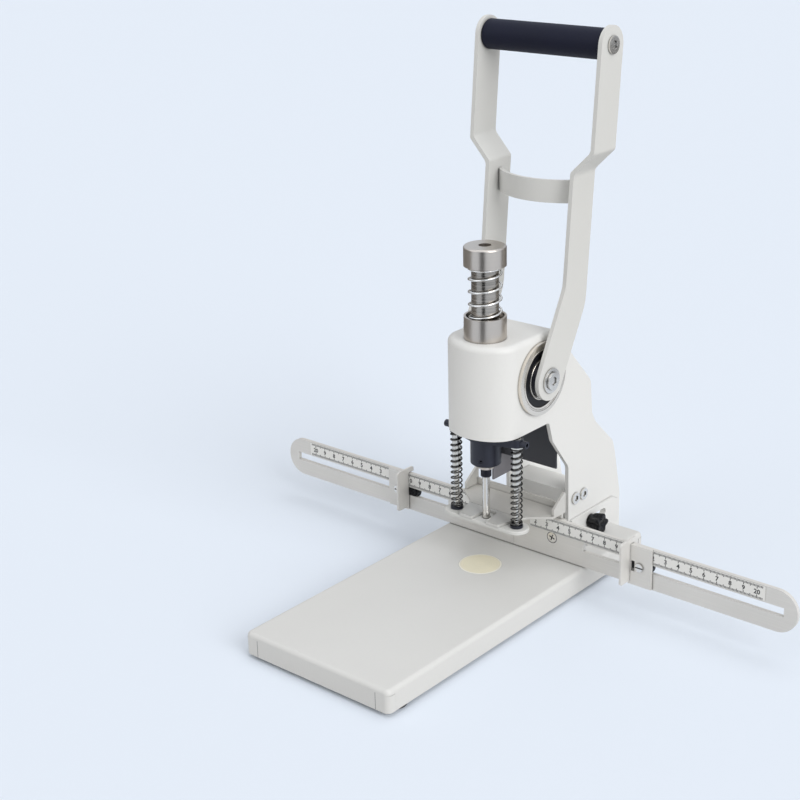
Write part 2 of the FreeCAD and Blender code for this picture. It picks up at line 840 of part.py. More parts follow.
def guide_tubes():
    """The two tubes under the crossbar, stepped inside for the pins' heads."""
    tubes = []
    for side in (-1, 1):
        x = side * guide_x
        tube = ring(tube_radius, pin_radius + running, crossbar_top - tube_bottom, V(x, 0, tube_bottom))
        tubes.append(tube.cut(disc(pin_head_radius + running, 50, V(x, 0, tube_step))))
    return tubes


def spring_washers():
    """The bright washers between the springs and the crossbar."""
    z = crossbar_bottom - washer_height
    return [ring(washer_outer, tube_radius + seat_gap, washer_height, V(side * guide_x, 0, z))
            for side in (-1, 1)]


def presser_plate():
    """The round-ended plate that holds the paper down, bored for drill and pins."""
    r = plate_radius
    body = box(-guide_x, guide_x, -r, r, plate_bottom, plate_top)
    for side in (-1, 1):
        body = body.fuse(disc(r, plate_thickness, V(side * guide_x, 0, plate_bottom)))
    body = body.removeSplitter()
    rims = [e for e in body.Edges if e.BoundBox.ZLength < 0.01 and e.BoundBox.ZMin > plate_top - 0.01]
    body = body.makeFillet(0.8, rims)
    body = body.cut(disc(plate_hole, plate_thickness + 2, V(0, 0, plate_bottom - 1)))
    for side in (-1, 1):
        spot = V(side * guide_x, 0, plate_bottom - 1)
        body = body.cut(disc(pin_radius + seat_gap, plate_thickness + 2, spot))
    return body


def presser_fork():
    """The sheet welded on the plate, with a finger either side of the drill."""
    right = [(4.6, 7.5, 3), (6.2, -fork_front, 1.5), (17.5, -fork_front, 1.5), (20.5, 1, 6), (23, fork_rear)]
    outline = right + [(-p[0],) + tuple(p[1:]) for p in reversed(right)]
    return prism(outline, "XY", plate_top, plate_top + fork_sheet)


def presser_pins():
    """The two pins on the plate, whose heads slide in the tubes."""
    pins = []
    head = tube_step + running
    for side in (-1, 1):
        x = side * guide_x
        pin = disc(pin_radius, head + pin_head_height - plate_bottom, V(x, 0, plate_bottom))
        pins.append(pin.fuse(disc(pin_head_radius, pin_head_height, V(x, 0, head))).removeSplitter())
    return pins


def pin_nuts():
    """The dark ring nuts that hold the pins, which the springs stand on."""
    return [ring(nut_radius, pin_radius + seat_gap, nut_height, V(side * guide_x, 0, plate_top))
            for side in (-1, 1)]


# Springs

def biarc(p0, t0, p1, t1):
    """Two arcs from p0 to p1 that leave along t0 and arrive along t1."""
    chord = p1 - p0
    both = t0 + t1
    bend = 2 * (1 - t0.dot(t1))
    along = chord.dot(both)
    d = (-along + math.sqrt(along * along + bend * chord.dot(chord))) / bend
    joint = (p0 + p1) * 0.5 + (t0 - t1) * (d / 2)
    arcs = []
    for start, corner, end in ((p0, p0 + t0 * d, joint), (joint, p1 - t1 * d, p1)):
        middle = (start + end) * 0.5
        half = (end - start).Length / 2
        turn = math.atan2((corner - middle).Length, half)
        rise = math.tan(turn / 2) / math.tan(turn)
        arcs.append(Part.Arc(start, middle + (corner - middle) * rise, end).toShape())
    return arcs


def coil_heights(wire, height, turns):
    """Wire centre height after each quarter turn, with a closed turn at each end."""
    closing = wire + end_pitch_gap
    rise = height - wire
    open_pitch = (rise - 2 * closing) / (turns - 2)
    heights = []
    for quarter in range(4 * turns + 1):
        done = quarter / 4
        low = min(done, 1) * closing
        high = max(0, done - (turns - 1)) * closing
        heights.append(low + high + max(0, min(done, turns - 1) - 1) * open_pitch)
    return heights


def coil(name, wire, mean_radius, centre, height, turns):
    """A compression spring with closed ends, one unbroken wire on arcs."""
    heights = coil_heights(wire, height, turns)
    quarter_run = mean_radius * math.pi / 2
    points = []
    tangents = []
    for i, z in enumerate(heights):
        angle = math.pi / 2 * i
        points.append(centre + V(mean_radius * math.cos(angle), mean_radius * math.sin(angle), z + wire / 2))
        before = heights[max(0, i - 1)]
        after = heights[min(len(heights) - 1, i + 1)]
        slope = (after - before) / (2 * quarter_run) if 0 < i < len(heights) - 1 else 0
        tangents.append(V(-math.sin(angle), math.cos(angle), slope).normalize())
    edges = [Part.LineSegment(points[0] - tangents[0] * wire, points[0]).toShape()]
    for i in range(len(points) - 1):
        edges += biarc(points[i], tangents[i], points[i + 1], tangents[i + 1])
    edges.append(Part.LineSegment(points[-1], points[-1] + tangents[-1] * wire).toShape())
    path = Part.Wire(edges)
    profile = Part.Wire(Part.Circle(points[0] - tangents[0] * wire, tangents[0], wire / 2).toShape())
    shell = Part.BRepOffsetAPI.MakePipeShell(path)
    shell.add(profile)
    shell.build()
    shell.makeSolid()
    solid = shell.shape()
    gaps = [heights[i + 4] - heights[i] - wire for i in range(len(heights) - 4)]
    print(name, "least gap to itself", round(min(gaps), 2), "volume ratio",
          round(solid.Volume / (math.pi * wire * wire / 4 * path.Length), 4))
    return solid


def return_spring():
    """The spring that lifts the plunger, between the cup's floor and the cap."""
    floor = head_top + cup_floor
    return coil("return_spring", return_wire, return_mean_radius, V(0, 0, floor), cap_bottom - floor,
                return_turns)


def presser_springs():
    """The two springs round the guide tubes and pins."""
    low = plate_top + nut_height
    high = crossbar_bottom - washer_height
    return [coil("presser_spring", press_wire, press_mean_radius, V(side * guide_x, 0, low), high - low,
                 press_turns) for side in (-1, 1)]


# Lever

def pinion():
    """An involute pinion on the lever shaft, in mesh with the rack at rest."""
    base_radius = pitch_radius * math.cos(math.radians(pressure_angle))
    tip_radius = pitch_radius + module
    root_radius = pitch_radius - 1.25 * module
    half_tooth = (tooth_pitch / 2 - backlash) / 2 / pitch_radius

    def flank_angle(radius):
        """Half the tooth's angle at a radius, from the involute."""
        involute = [math.tan(a) - a for a in (math.acos(base_radius / radius), math.radians(pressure_angle))]
        return half_tooth + involute[1] - involute[0]

    radii = [base_radius + 0.001, (base_radius + tip_radius) / 2, tip_radius]
    turn = 2 * math.pi / pinion_teeth
    edges = []

    def at(radius, angle):
        """A point of the pinion's face, with angle 0 pointing to the rack."""
        return V(-pinion_width / 2, pivot_y - radius * math.cos(angle), pivot_z + radius * math.sin(angle))

    for i in range(pinion_teeth):
        middle = i * turn
        up = [at(r, middle - flank_angle(r)) for r in radii]
        down = [at(r, middle + flank_angle(r)) for r in reversed(radii)]
        foot_up = at(root_radius, middle - flank_angle(radii[0]))
        foot_down = at(root_radius, middle + flank_angle(radii[0]))
        next_foot = at(root_radius, middle + turn - flank_angle(radii[0]))
        valley = at(root_radius, middle + turn / 2)
        edges += [Part.LineSegment(foot_up, up[0]).toShape(), Part.Arc(*up).toShape(),
                  Part.Arc(up[-1], at(tip_radius, middle), down[0]).toShape(), Part.Arc(*down).toShape(),
                  Part.LineSegment(down[-1], foot_down).toShape(),
                  Part.Arc(foot_down, valley, next_foot).toShape()]
    body = Part.Face(Part.Wire(edges)).extrude(V(pinion_width, 0, 0))
    start = V(-pinion_width / 2 - 1, pivot_y, pivot_z)
    return body.cut(disc(shaft_radius + seat_gap, pinion_width + 2, start, X_AXIS))


def lever_shaft():
    """The shaft through the head: round in the bearings, flatted in the arms."""
    half = housing_face - bearing_recess
    body = disc(shaft_radius, 2 * half, V(-half, pivot_y, pivot_z), X_AXIS)
    reach = arm_outer - 0.3
    stub = disc(shaft_end_radius, 2 * reach, V(-reach, pivot_y, pivot_z), X_AXIS)
    stub = stub.common(box(-reach, reach, pivot_y - shaft_end_flat, pivot_y + shaft_end_flat,
                           pivot_z - 20, pivot_z + 20))
    body = body.fuse(stub)
    for side in (-1, 1):
        body = body.cut(disc(shaft_screw_radius + seat_gap, shaft_screw_depth,
                             V(side * reach, pivot_y, pivot_z), X_AXIS * -side))
    return body


def hub_spacers():
    """The black rings between the bearings and the arms."""
    start = housing_face - bearing_recess
    spacer = ring(spacer_radius, shaft_end_radius + seat_gap, arm_inner - start, V(start, pivot_y, pivot_z),
                  X_AXIS)
    return [spacer, mirrored(spacer)]


def arm_outline():
    """The right arm seen from the side: foot, bend and rounded top."""
    lean = math.radians(arm_lean_low)
    bend_y = pivot_y + (arm_bend_z - pivot_z) * math.tan(lean)
    upper = math.atan2(grip_y - bend_y, grip_z - arm_bend_z)
    foot_side = V(0, math.cos(lean), -math.sin(lean)) * arm_foot_radius
    top_side = V(0, math.cos(upper), -math.sin(upper)) * (arm_width / 2)
    pivot = V(0, pivot_y, pivot_z)
    top = V(0, grip_y, grip_z)
    low_way = V(0, math.sin(lean), math.cos(lean))
    high_way = V(0, math.sin(upper), math.cos(upper))
    corners = []
    for sign in (-1, 1):
        start = pivot + foot_side * sign
        end = top + top_side * sign
        gap = end - start
        determinant = low_way.y * high_way.z - low_way.z * high_way.y
        run = (gap.y * high_way.z - gap.z * high_way.y) / determinant
        corners.append(start + low_way * run)
    left, right = corners
    outline = [(left.y, left.z, 22), (top.y - top_side.y, top.z - top_side.z),
               (top.y + top_side.y, top.z + top_side.z), (right.y, right.z, 30),
               (pivot.y + foot_side.y, pivot.z + foot_side.z),
               (pivot.y - foot_side.y, pivot.z - foot_side.z)]
    return outline


def lever_arm():
    """The right arm, a flat bar that steps outwards below the grip."""
    start = arm_inner - 2
    span = grip_outer - arm_inner + 4
    side = prism(arm_outline(), "YZ", start, start + span)
    side = side.fuse(disc(arm_foot_radius, span, V(start, pivot_y, pivot_z), X_AXIS))
    side = side.fuse(disc(arm_width / 2, span, V(start, grip_y, grip_z), X_AXIS))
    step = math.atan2(grip_inner - arm_inner, splay_high - splay_low)
    shift = arm_thickness * math.tan(step / 2)
    low = pivot_z - 30
    high = grip_z + 30
    strip = [(arm_inner, low), (arm_inner, splay_low + shift, 3), (grip_inner, splay_high + shift, 6),
             (grip_inner, high), (grip_outer, high), (grip_outer, splay_high, 3), (arm_outer, splay_low, 6),
             (arm_outer, low)]
    front = prism(strip, "XZ", -30, 130)
    body = side.common(front)
    hole = disc(shaft_end_radius + seat_gap, arm_thickness + 4, V(arm_inner - 2, pivot_y, pivot_z), X_AXIS)
    hole = hole.common(box(0, 60, pivot_y - shaft_end_flat - seat_gap, pivot_y + shaft_end_flat + seat_gap,
                           pivot_z - 20, pivot_z + 20))
    body = body.cut(hole)
    start = V(grip_inner - 2, grip_y, grip_z)
    return body.cut(disc(grip_rod_radius + seat_gap, arm_thickness + 4, start, X_AXIS))


def strap_middle_y():
    """Y of the arms' middle line at the strap's height."""
    bend_y = pivot_y + (arm_bend_z - pivot_z) * math.tan(math.radians(arm_lean_low))
    share = ((strap_low + strap_high) / 2 - arm_bend_z) / (grip_z - arm_bend_z)
    return bend_y + (grip_y - bend_y) * share


def cross_strap():
    """The bowed strap welded between the two arms."""
    radius = (arm_inner ** 2 + strap_sagitta ** 2) / (2 * strap_sagitta)
    centre_y = strap_middle_y() + radius - strap_sagitta
    body = ring(radius, radius - strap_thickness, strap_high - strap_low, V(0, centre_y, strap_low))
    return body.common(box(-arm_inner, arm_inner, 0, centre_y, strap_low - 1, strap_high + 1))


def shaft_bolts():
    """A socket screw and washer on each end of the lever shaft."""
    face = arm_outer
    washer = ring(washer_radius, shaft_screw_radius + seat_gap, washer_thickness, V(face, pivot_y, pivot_z),
                  X_AXIS)
    screw = socket_screw(shaft_screw_radius, washer_thickness + shaft_screw_depth - 2, shaft_head_radius,
                         shaft_head_height, V(face + washer_thickness, pivot_y, pivot_z), X_AXIS)
    return [washer, screw, mirrored(washer), mirrored(screw)]


def grip():
    """The dark round grip between the arms."""
    half = grip_inner - grip_play
    body = disc(grip_radius, 2 * half, V(-half, grip_y, grip_z), X_AXIS)
    body = body.makeFillet(0.8, [e for e in body.Edges if e.BoundBox.XLength < 0.01])
    return body.cut(disc(grip_rod_radius + seat_gap, 2 * half + 2, V(-half - 1, grip_y, grip_z), X_AXIS))


def grip_rod():
    """The steel tie rod inside the grip, threaded for the bolts."""
    half = grip_outer - 0.2
    body = disc(grip_rod_radius, 2 * half, V(-half, grip_y, grip_z), X_AXIS)
    for side in (-1, 1):
        body = body.cut(disc(2.5 + seat_gap, 12, V(side * half, grip_y, grip_z), X_AXIS * -side))
    return body


def grip_bolts():
    """A socket screw at each end of the tie rod."""
    bolt = socket_screw(2.5, 10, grip_bolt_radius, grip_bolt_height, V(grip_outer, grip_y, grip_z), X_AXIS)
    return [bolt, mirrored(bolt)]


# Fence, rulers and carriage

def fence_bar():
    """The right ruler bar, a plate on edge with a round end and a long slot."""
    radius = fence_height / 2
    y0 = fence_front
    t = fence_thickness
    middle_z = fence_bottom + radius
    body = box(fence_split, fence_half_length - radius, y0, y0 + t, fence_bottom, fence_top)
    body = body.fuse(disc(radius, t, V(fence_half_length - radius, y0, middle_z), Y_AXIS)).removeSplitter()
    slot = box(fence_slot_start, fence_slot_end, y0 - 1, y0 + t + 1, fence_slot_low, fence_slot_high)
    body = body.cut(slot)
    spot = V(fence_screw_x, y0 - 1, fence_screw_z)
    body = body.cut(disc(fence_screw_radius + seat_gap, t + 2, spot, Y_AXIS))
    sink = Part.makeCone(fence_screw_head + seat_gap, fence_screw_radius + seat_gap, 2.0,
                         V(fence_screw_x, y0, fence_screw_z), Y_AXIS)
    return body.cut(sink)


def slot_shape(z0, z1, x0, x1, y0, depth):
    """A round-ended slot through a plate that faces the front."""
    radius = (z1 - z0) / 2
    middle = (z0 + z1) / 2
    body = box(x0 + radius, x1 - radius, y0, y0 + depth, z0, z1)
    for x in (x0 + radius, x1 - radius):
        body = body.fuse(disc(radius, depth, V(x, y0, middle), Y_AXIS))
    return body.removeSplitter()


def scale_strip():
    """The right white scale strip on the bar, above the slot."""
    return box(scale_start, scale_end, fence_front - scale_thickness, fence_front, scale_low, scale_high)


def fence_screws():
    """Countersunk screws that hold the bars on the carriage."""
    screws = []
    for side in (-1, 1):
        x = side * fence_screw_x
        face = V(x, fence_front, fence_screw_z)
        head = Part.makeCone(fence_screw_head, fence_screw_radius, 2.0, face, Y_AXIS)
        shank = disc(fence_screw_radius, fence_thickness + carriage_sheet - 0.1, face, Y_AXIS)
        body = head.fuse(shank)
        for angle in (20.0, 110.0):
            blade = box(-2.4, 2.4, fence_front - 1, fence_front + 1.0, -0.45, 0.45)
            blade.rotate(V(0, 0, 0), Y_AXIS, angle)
            blade.translate(V(x, 0, fence_screw_z))
            body = body.cut(blade)
        screws.append(body)
    return screws


def carriage():
    """The folded sheet behind the fence: upright, deck, rear lip and two ears."""
    y0 = fence_back_face
    half = carriage_half_width
    s = deck_sheet
    upright = box(-half, half, y0, y0 + carriage_sheet, fence_bottom + 1.2, fence_top)
    neck = box(-deck_half_width, deck_half_width, y0, y0 + carriage_sheet, fence_top, deck_top - s)
    right = [(23.8, deck_front, 1), (25.8, 14, 4), (deck_half_width, 25.2, 1.5),
             (deck_half_width, deck_rear)]
    outline = right + [(-p[0],) + tuple(p[1:]) for p in reversed(right)]
    deck = prism(outline, "XY", deck_top - s, deck_top)
    lip = box(-deck_half_width, deck_half_width, deck_rear - s, deck_rear,
              deck_top - s, deck_top + lip_height)
    rise = deck_top + ear_rear_height
    ear_outline = [(26.4, deck_top - s), (26.4, deck_top + ear_front_height, 2), (32.5, deck_top + 9.5, 14),
                   (deck_rear - 1.2, rise, 1), (deck_rear, rise - 1.5), (deck_rear, deck_top - s)]
    ear = prism(ear_outline, "YZ", deck_half_width - s, deck_half_width)
    body = upright.fuse([neck, deck, lip, ear, mirrored(ear)]).removeSplitter()
    for side in (-1, 1):
        spot = V(side * fence_screw_x, y0 - 1, fence_screw_z)
        body = body.cut(disc(fence_screw_radius + seat_gap, carriage_sheet + 2, spot, Y_AXIS))
    return body


def slide_bar():
    """The bar behind the fence that runs between the walls and takes the clamp stud."""
    z0 = base_top + side_gap
    body = box(-slide_half_width, slide_half_width, fence_back_face + carriage_sheet, slide_rear, z0,
               z0 + slide_height)
    return body.cut(disc(stud_radius + seat_gap, 16, V(slide_half_width - 15, knob_y, knob_z), X_AXIS))


# Clamp knob

def clamp_knob():
    """The black lobed knob outside the right wall."""
    start = head_half_width + bracket_sheet + side_gap
    face = start + knob_stand_off
    body = disc(knob_radius - knob_lobe * 0.8, knob_length, V(face, knob_y, knob_z), X_AXIS)
    for i in range(knob_lobes):
        turn = math.radians(90 + 360 * i / knob_lobes)
        centre = V(face, knob_y + (knob_radius - knob_lobe) * math.cos(turn),
                   knob_z + (knob_radius - knob_lobe) * math.sin(turn))
        body = body.fuse(disc(knob_lobe, knob_length, centre, X_AXIS))
    boss = disc(knob_boss_radius, knob_stand_off, V(start, knob_y, knob_z), X_AXIS)
    body = body.fuse(boss).removeSplitter()
    return body.cut(disc(stud_radius + seat_gap, knob_stand_off + 6, V(start - 1, knob_y, knob_z), X_AXIS))


def clamp_stud():
    """The knob's steel stud, through the wall's slot into the slide bar."""
    start = slide_half_width - 12
    end = head_half_width + bracket_sheet + side_gap + knob_stand_off + 4.5
    return disc(stud_radius, end - start, V(start, knob_y, knob_z), X_AXIS)


# Side stops

def stop_clip():
    """The right stop: a plate on the bar and a wing that the paper's side meets."""
    x0 = stop_x - stop_width / 2
    x1 = stop_x + stop_width / 2
    back = fence_front - scale_thickness - stop_front_gap
    plate = box(x0, x1, back - stop_sheet, back, stop_plate_low, stop_plate_high)
    wing = prism([(back - stop_wing_reach - stop_sheet, stop_wing_low, 2), (back, stop_wing_low),
                  (back, fence_top + side_gap), (fence_back_face + 2.5, fence_top + side_gap),
                  (fence_back_face + 2.5, stop_wing_high, 1.5),
                  (back - stop_wing_reach - stop_sheet, stop_wing_high, 3)], "YZ", x0, x0 + stop_sheet)
    body = plate.fuse(wing).removeSplitter()
    start = x0 + stop_window
    body = body.cut(box(start, start + stop_window_width, back - stop_sheet - 1, back + 1,
                        stop_window_low, stop_window_high))
    return body.cut(disc(stop_screw_radius + seat_gap, stop_sheet + 2,
                         V(stop_x, back - stop_sheet - 1, slot_middle()), Y_AXIS))


def slot_middle():
    """Height of the middle of the fence's slot."""
    return (fence_slot_low + fence_slot_high) / 2


def stop_slider():
    """The key in the slot, with a flange behind the bar that carries the clip."""
    front = fence_front - scale_thickness - stop_front_gap
    low = fence_slot_low + 0.2
    high = fence_slot_high - 0.2
    key = slot_shape(low, high, stop_x - slider_inner, stop_x + slider_outer, front,
                     fence_back_face + 0.2 + slider_flange / 2 - front)
    flange = slot_shape(low - slider_flange_side, high + slider_flange_side,
                        stop_x - slider_inner, stop_x + slider_outer,
                        fence_back_face + 0.2, slider_flange)
    body = key.fuse(flange).removeSplitter()
    return body.cut(disc(stop_screw_radius + seat_gap, 20, V(stop_x, front - 1, slot_middle()), Y_AXIS))


def stop_screw():
    """The slotted screw through clip and key, and its nut behind."""
    back = fence_front - scale_thickness - stop_front_gap
    face = back - stop_sheet
    end = fence_back_face + 0.2 + slider_flange
    head_start = V(stop_x, face - stop_screw_height, slot_middle())
    head = disc(stop_screw_head, stop_screw_height, head_start, Y_AXIS)
    head = head.cut(box(stop_x - 5, stop_x + 5, face - stop_screw_height - 1, face - stop_screw_height + 1.0,
                        slot_middle() - 0.5, slot_middle() + 0.5))
    shank_start = V(stop_x, face - 0.5, slot_middle())
    shank = disc(stop_screw_radius, end - face + stop_nut_height + 1.0, shank_start, Y_AXIS)
    nut = hexagon(stop_nut_radius, stop_nut_height, V(stop_x, end, slot_middle()), Y_AXIS)
    return head.fuse(shank).fuse(nut)


# Every piece

save("base_plate", base_plate())
save("rubber_feet", *[foot(x, y) for x, y in foot_places()])
save("cutting_pad", cutting_pad())
save("frame_shell", frame_shell())
save("rear_cover", rear_cover())
lower_block = head_bottom + 2.0
upper_block = head_top - wall - block_height
save("guide_blocks", guide_block(lower_block), guide_block(upper_block))
save("plunger_bushes", plunger_bush(lower_block), plunger_bush(upper_block))
save("throat_cover", throat_cover())
save("side_guard", side_guard())
save("cross_block", cross_block())
save("wall_screws", *wall_screws())
bracket_slot = stud_slot_cut(head_half_width - 1, head_half_width + bracket_sheet + 1)
save("foot_brackets", foot_bracket().cut(bracket_slot), mirrored(foot_bracket()), rear_tie())
save("bracket_bolts", *(bracket_bolts() + tie_bolts()))
save("bearing_housings", bearing_housing(), mirrored(bearing_housing()))
save("bearing_outer_races", outer_race(), mirrored(outer_race()))
save("bearing_inner_races", inner_race(), mirrored(inner_race()))
save("bearing_seals", *(bearing_seals() + [mirrored(s) for s in bearing_seals()]))
save("bearing_balls", *(bearing_balls() + [mirrored(s) for s in bearing_balls()]))
save("spring_cup", spring_cup())
save("return_spring", return_spring())
save("plunger_rack", plunger())
save("plunger_cap", cap())
save("chuck", chuck())
save("chuck_set_screw", set_screw())
save("chuck_ring", chuck_ring())
save("bit_collar", bit_collar())
save("hollow_drill", hollow_drill())
save("crossbar", crossbar())
save("crossbar_screws", *clamp_screws())
save("guide_tubes", *guide_tubes())
save("spring_washers", *spring_washers())
save("presser_plate", presser_plate())
save("presser_fork", presser_fork())
save("presser_pins", *presser_pins())
save("pin_nuts", *pin_nuts())
save("presser_springs", *presser_springs())
save("pinion", pinion())
save("lever_shaft", lever_shaft())
save("hub_spacers", *hub_spacers())
save("lever_arm_right", lever_arm())
save("lever_arm_left", mirrored(lever_arm()))
save("cross_strap", cross_strap())
save("shaft_bolts", *shaft_bolts())
save("grip", grip())
save("grip_rod", grip_rod())
save("grip_bolts", *grip_bolts())
save("fence_bar_right", fence_bar())
save("fence_bar_left", mirrored(fence_bar()))
save("scale_strips", scale_strip(), mirrored(scale_strip()))
save("fence_screws", *fence_screws())
save("carriage", carriage())
save("slide_bar", slide_bar())
save("clamp_knob", clamp_knob())
save("clamp_stud", clamp_stud())
for side_name, turned in (("right", False), ("left", True)):
    for piece_name, piece in (("stop_clip", stop_clip()), ("stop_slider", stop_slider()),
                              ("stop_screw", stop_screw())):
        save(piece_name + "_" + side_name, mirrored(piece) if turned else piece)

print("stroke", round(stroke, 3), "mm, lever angle", round(lever_angle, 3), "degrees")
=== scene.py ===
# %% [markdown]
# # A manual paper drill
# A long white lever turns a pinion in the head. The pinion drives a rack down, and a hollow drill at
# its foot cuts through a stack of paper that lies against a ruled fence. This lesson dresses the
# machine's exact CAD solids. The imported model is loaded first, as a fixed frame that nothing here
# moves. Every later piece is placed in the same metres.

# %% Load the frame
import math

import bpy
import numpy as np
from mathutils import Matrix, Vector


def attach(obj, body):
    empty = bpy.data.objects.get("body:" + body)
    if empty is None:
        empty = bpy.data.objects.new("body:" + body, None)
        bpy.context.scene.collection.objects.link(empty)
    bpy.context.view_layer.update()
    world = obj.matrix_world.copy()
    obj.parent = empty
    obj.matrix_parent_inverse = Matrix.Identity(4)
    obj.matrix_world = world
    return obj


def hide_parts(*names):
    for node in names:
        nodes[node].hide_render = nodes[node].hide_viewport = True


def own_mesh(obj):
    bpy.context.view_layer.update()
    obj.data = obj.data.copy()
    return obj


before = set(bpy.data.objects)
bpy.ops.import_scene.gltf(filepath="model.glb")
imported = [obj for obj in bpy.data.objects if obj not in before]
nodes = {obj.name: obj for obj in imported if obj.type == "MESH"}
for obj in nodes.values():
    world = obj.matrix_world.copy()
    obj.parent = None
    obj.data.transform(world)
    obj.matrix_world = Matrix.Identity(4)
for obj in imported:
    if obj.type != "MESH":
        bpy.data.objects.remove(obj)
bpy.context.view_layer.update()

# %% [markdown]
# The CAD was drawn in millimetres with its origin under the drill, and then moved 25.75 mm to the back
# so that the origin is the middle of the footprint. One helper turns a drawing point into metres.

# %% Drawing millimetres to metres
MM = 0.001
DRILL_Y = 25.75


def place(points):
    """Millimetres about the drill's axis to scene metres: (x, y + 25.75, z) times a thousandth."""
    return (np.asarray(points, float) + (0.0, DRILL_Y, 0.0)) * MM


print("drill axis at", place((0, 0, 0)))

# %% [markdown]
# The photograph's viewpoint was solved from the fence's centimetre marks. The camera stands 41 degrees
# to the right of the front and 21 degrees up. Its focal length is 1593 pixels on an 800 pixel frame,
# which is a 71.7 mm lens on a 36 mm wide sensor. It could be aimed with a constraint, but a matrix
# written from the three angles is exact and leaves nothing live.

# %% Camera
AZIMUTH = math.radians(41.03)
ELEVATION = math.radians(20.82)
ROLL = math.radians(-1.48)
EYE = place((639.36, -826.15, 542.42))
FOCAL_PIXELS = 1593.44
FRAME_PIXELS = 800
SENSOR = 36.0


def camera_turn(azimuth, elevation, roll):
    """The camera's axes as columns: right and up, turned by the roll, and back towards the eye."""
    level = math.cos(elevation)
    back = Vector((math.sin(azimuth) * level, -math.cos(azimuth) * level, math.sin(elevation)))
    right = Vector((math.cos(azimuth), math.sin(azimuth), 0.0))
    up = back.cross(right)
    rolled_right = right * math.cos(roll) + up * math.sin(roll)
    rolled_up = up * math.cos(roll) - right * math.sin(roll)
    return Matrix((rolled_right, rolled_up, back)).transposed().to_4x4()


lens = bpy.data.cameras.new("photo_lens")
lens.sensor_width = SENSOR
lens.lens = FOCAL_PIXELS / FRAME_PIXELS * SENSOR
lens.clip_end = 50.0
camera = bpy.data.objects.new("photo_camera", lens)
stand = Matrix.Translation(Vector(EYE.tolist()))
camera.matrix_world = stand @ camera_turn(AZIMUTH, ELEVATION, ROLL)
bpy.context.scene.collection.objects.link(camera)
bpy.context.scene.camera = camera
print("lens", round(lens.lens, 2), "mm, eye at", EYE.round(3))

# %% [markdown]
# Every finish needs the same two small tools. Colours are written as sRGB hex, as a paint chart gives
# them, and Blender mixes in linear light, so one function converts them. The other adds a node, sets
# it up and plugs it in, which keeps each finish short enough to read.

# %% Colour and node helpers
def linear(code):
    """sRGB hex to linear: v / 12.92 near black, and ((v + 0.055) / 1.055) to the power 2.4 above."""
    value = np.array([int(code[i:i + 2], 16) for i in (0, 2, 4)]) / 255
    light = np.where(value <= 0.04045, value / 12.92, ((value + 0.055) / 1.055) ** 2.4)
    return (*light.tolist(), 1.0)


def add(tree, kind, inputs=None, **settings):
    """Adds one node. Settings are its attributes, and inputs take values or other nodes' outputs."""
    made = tree.nodes.new(kind)
    for name, value in settings.items():
        setattr(made, name, value)
    for name, value in (inputs or {}).items():
        if isinstance(value, bpy.types.NodeSocket):
            tree.links.new(value, made.inputs[name])
        else:
            made.inputs[name].default_value = value
    return made


print("paper white in linear light:", [round(v, 3) for v in linear("E9E9E9")])

# %% [markdown]
# All of the machine's finishes are one colour with a fine surface on it: the orange peel of powder
# coat, the brush lines of sheet metal, the rings that a lathe leaves. So one function makes them all.
# A noise, stretched to the real grain in millimetres, raises the bump and varies the gloss. A slow
# noise shades the colour a little, as uneven coating and handling do. Where a piece was turned on a
# lathe, the noise reads the distance from the axis and the height along it, so its lines run round
# the piece on its sides and its faces alike. Narrow recesses get painted shade: where an occlusion
# test finds the surface shut in, the colour is darkened, standing in for the shade that falls there.

# %% One function for every finish
NOISE_LOW, NOISE_HIGH = 0.3, 0.7
RECESS_SHADE_REACH = 1.6
RECESS_SHADE_SHUT, RECESS_SHADE_OPEN = 0.35, 0.9


def lathe_place(tree, where, axis, centre):
    """Turns a point into (distance from the axis, height along it, 0), so patterns run in circles."""
    kind = "ShaderNodeVectorMath"
    shifted = add(tree, kind, {0: where, 1: centre}, operation="SUBTRACT").outputs[0]
    across = [1.0 - part for part in axis]
    flat = add(tree, kind, {0: shifted, 1: across}, operation="MULTIPLY").outputs[0]
    far = add(tree, kind, {0: flat}, operation="LENGTH").outputs["Value"]
    along = add(tree, kind, {0: shifted, 1: axis}, operation="DOT_PRODUCT").outputs["Value"]
    return add(tree, "ShaderNodeCombineXYZ", {0: far, 1: along}).outputs[0]


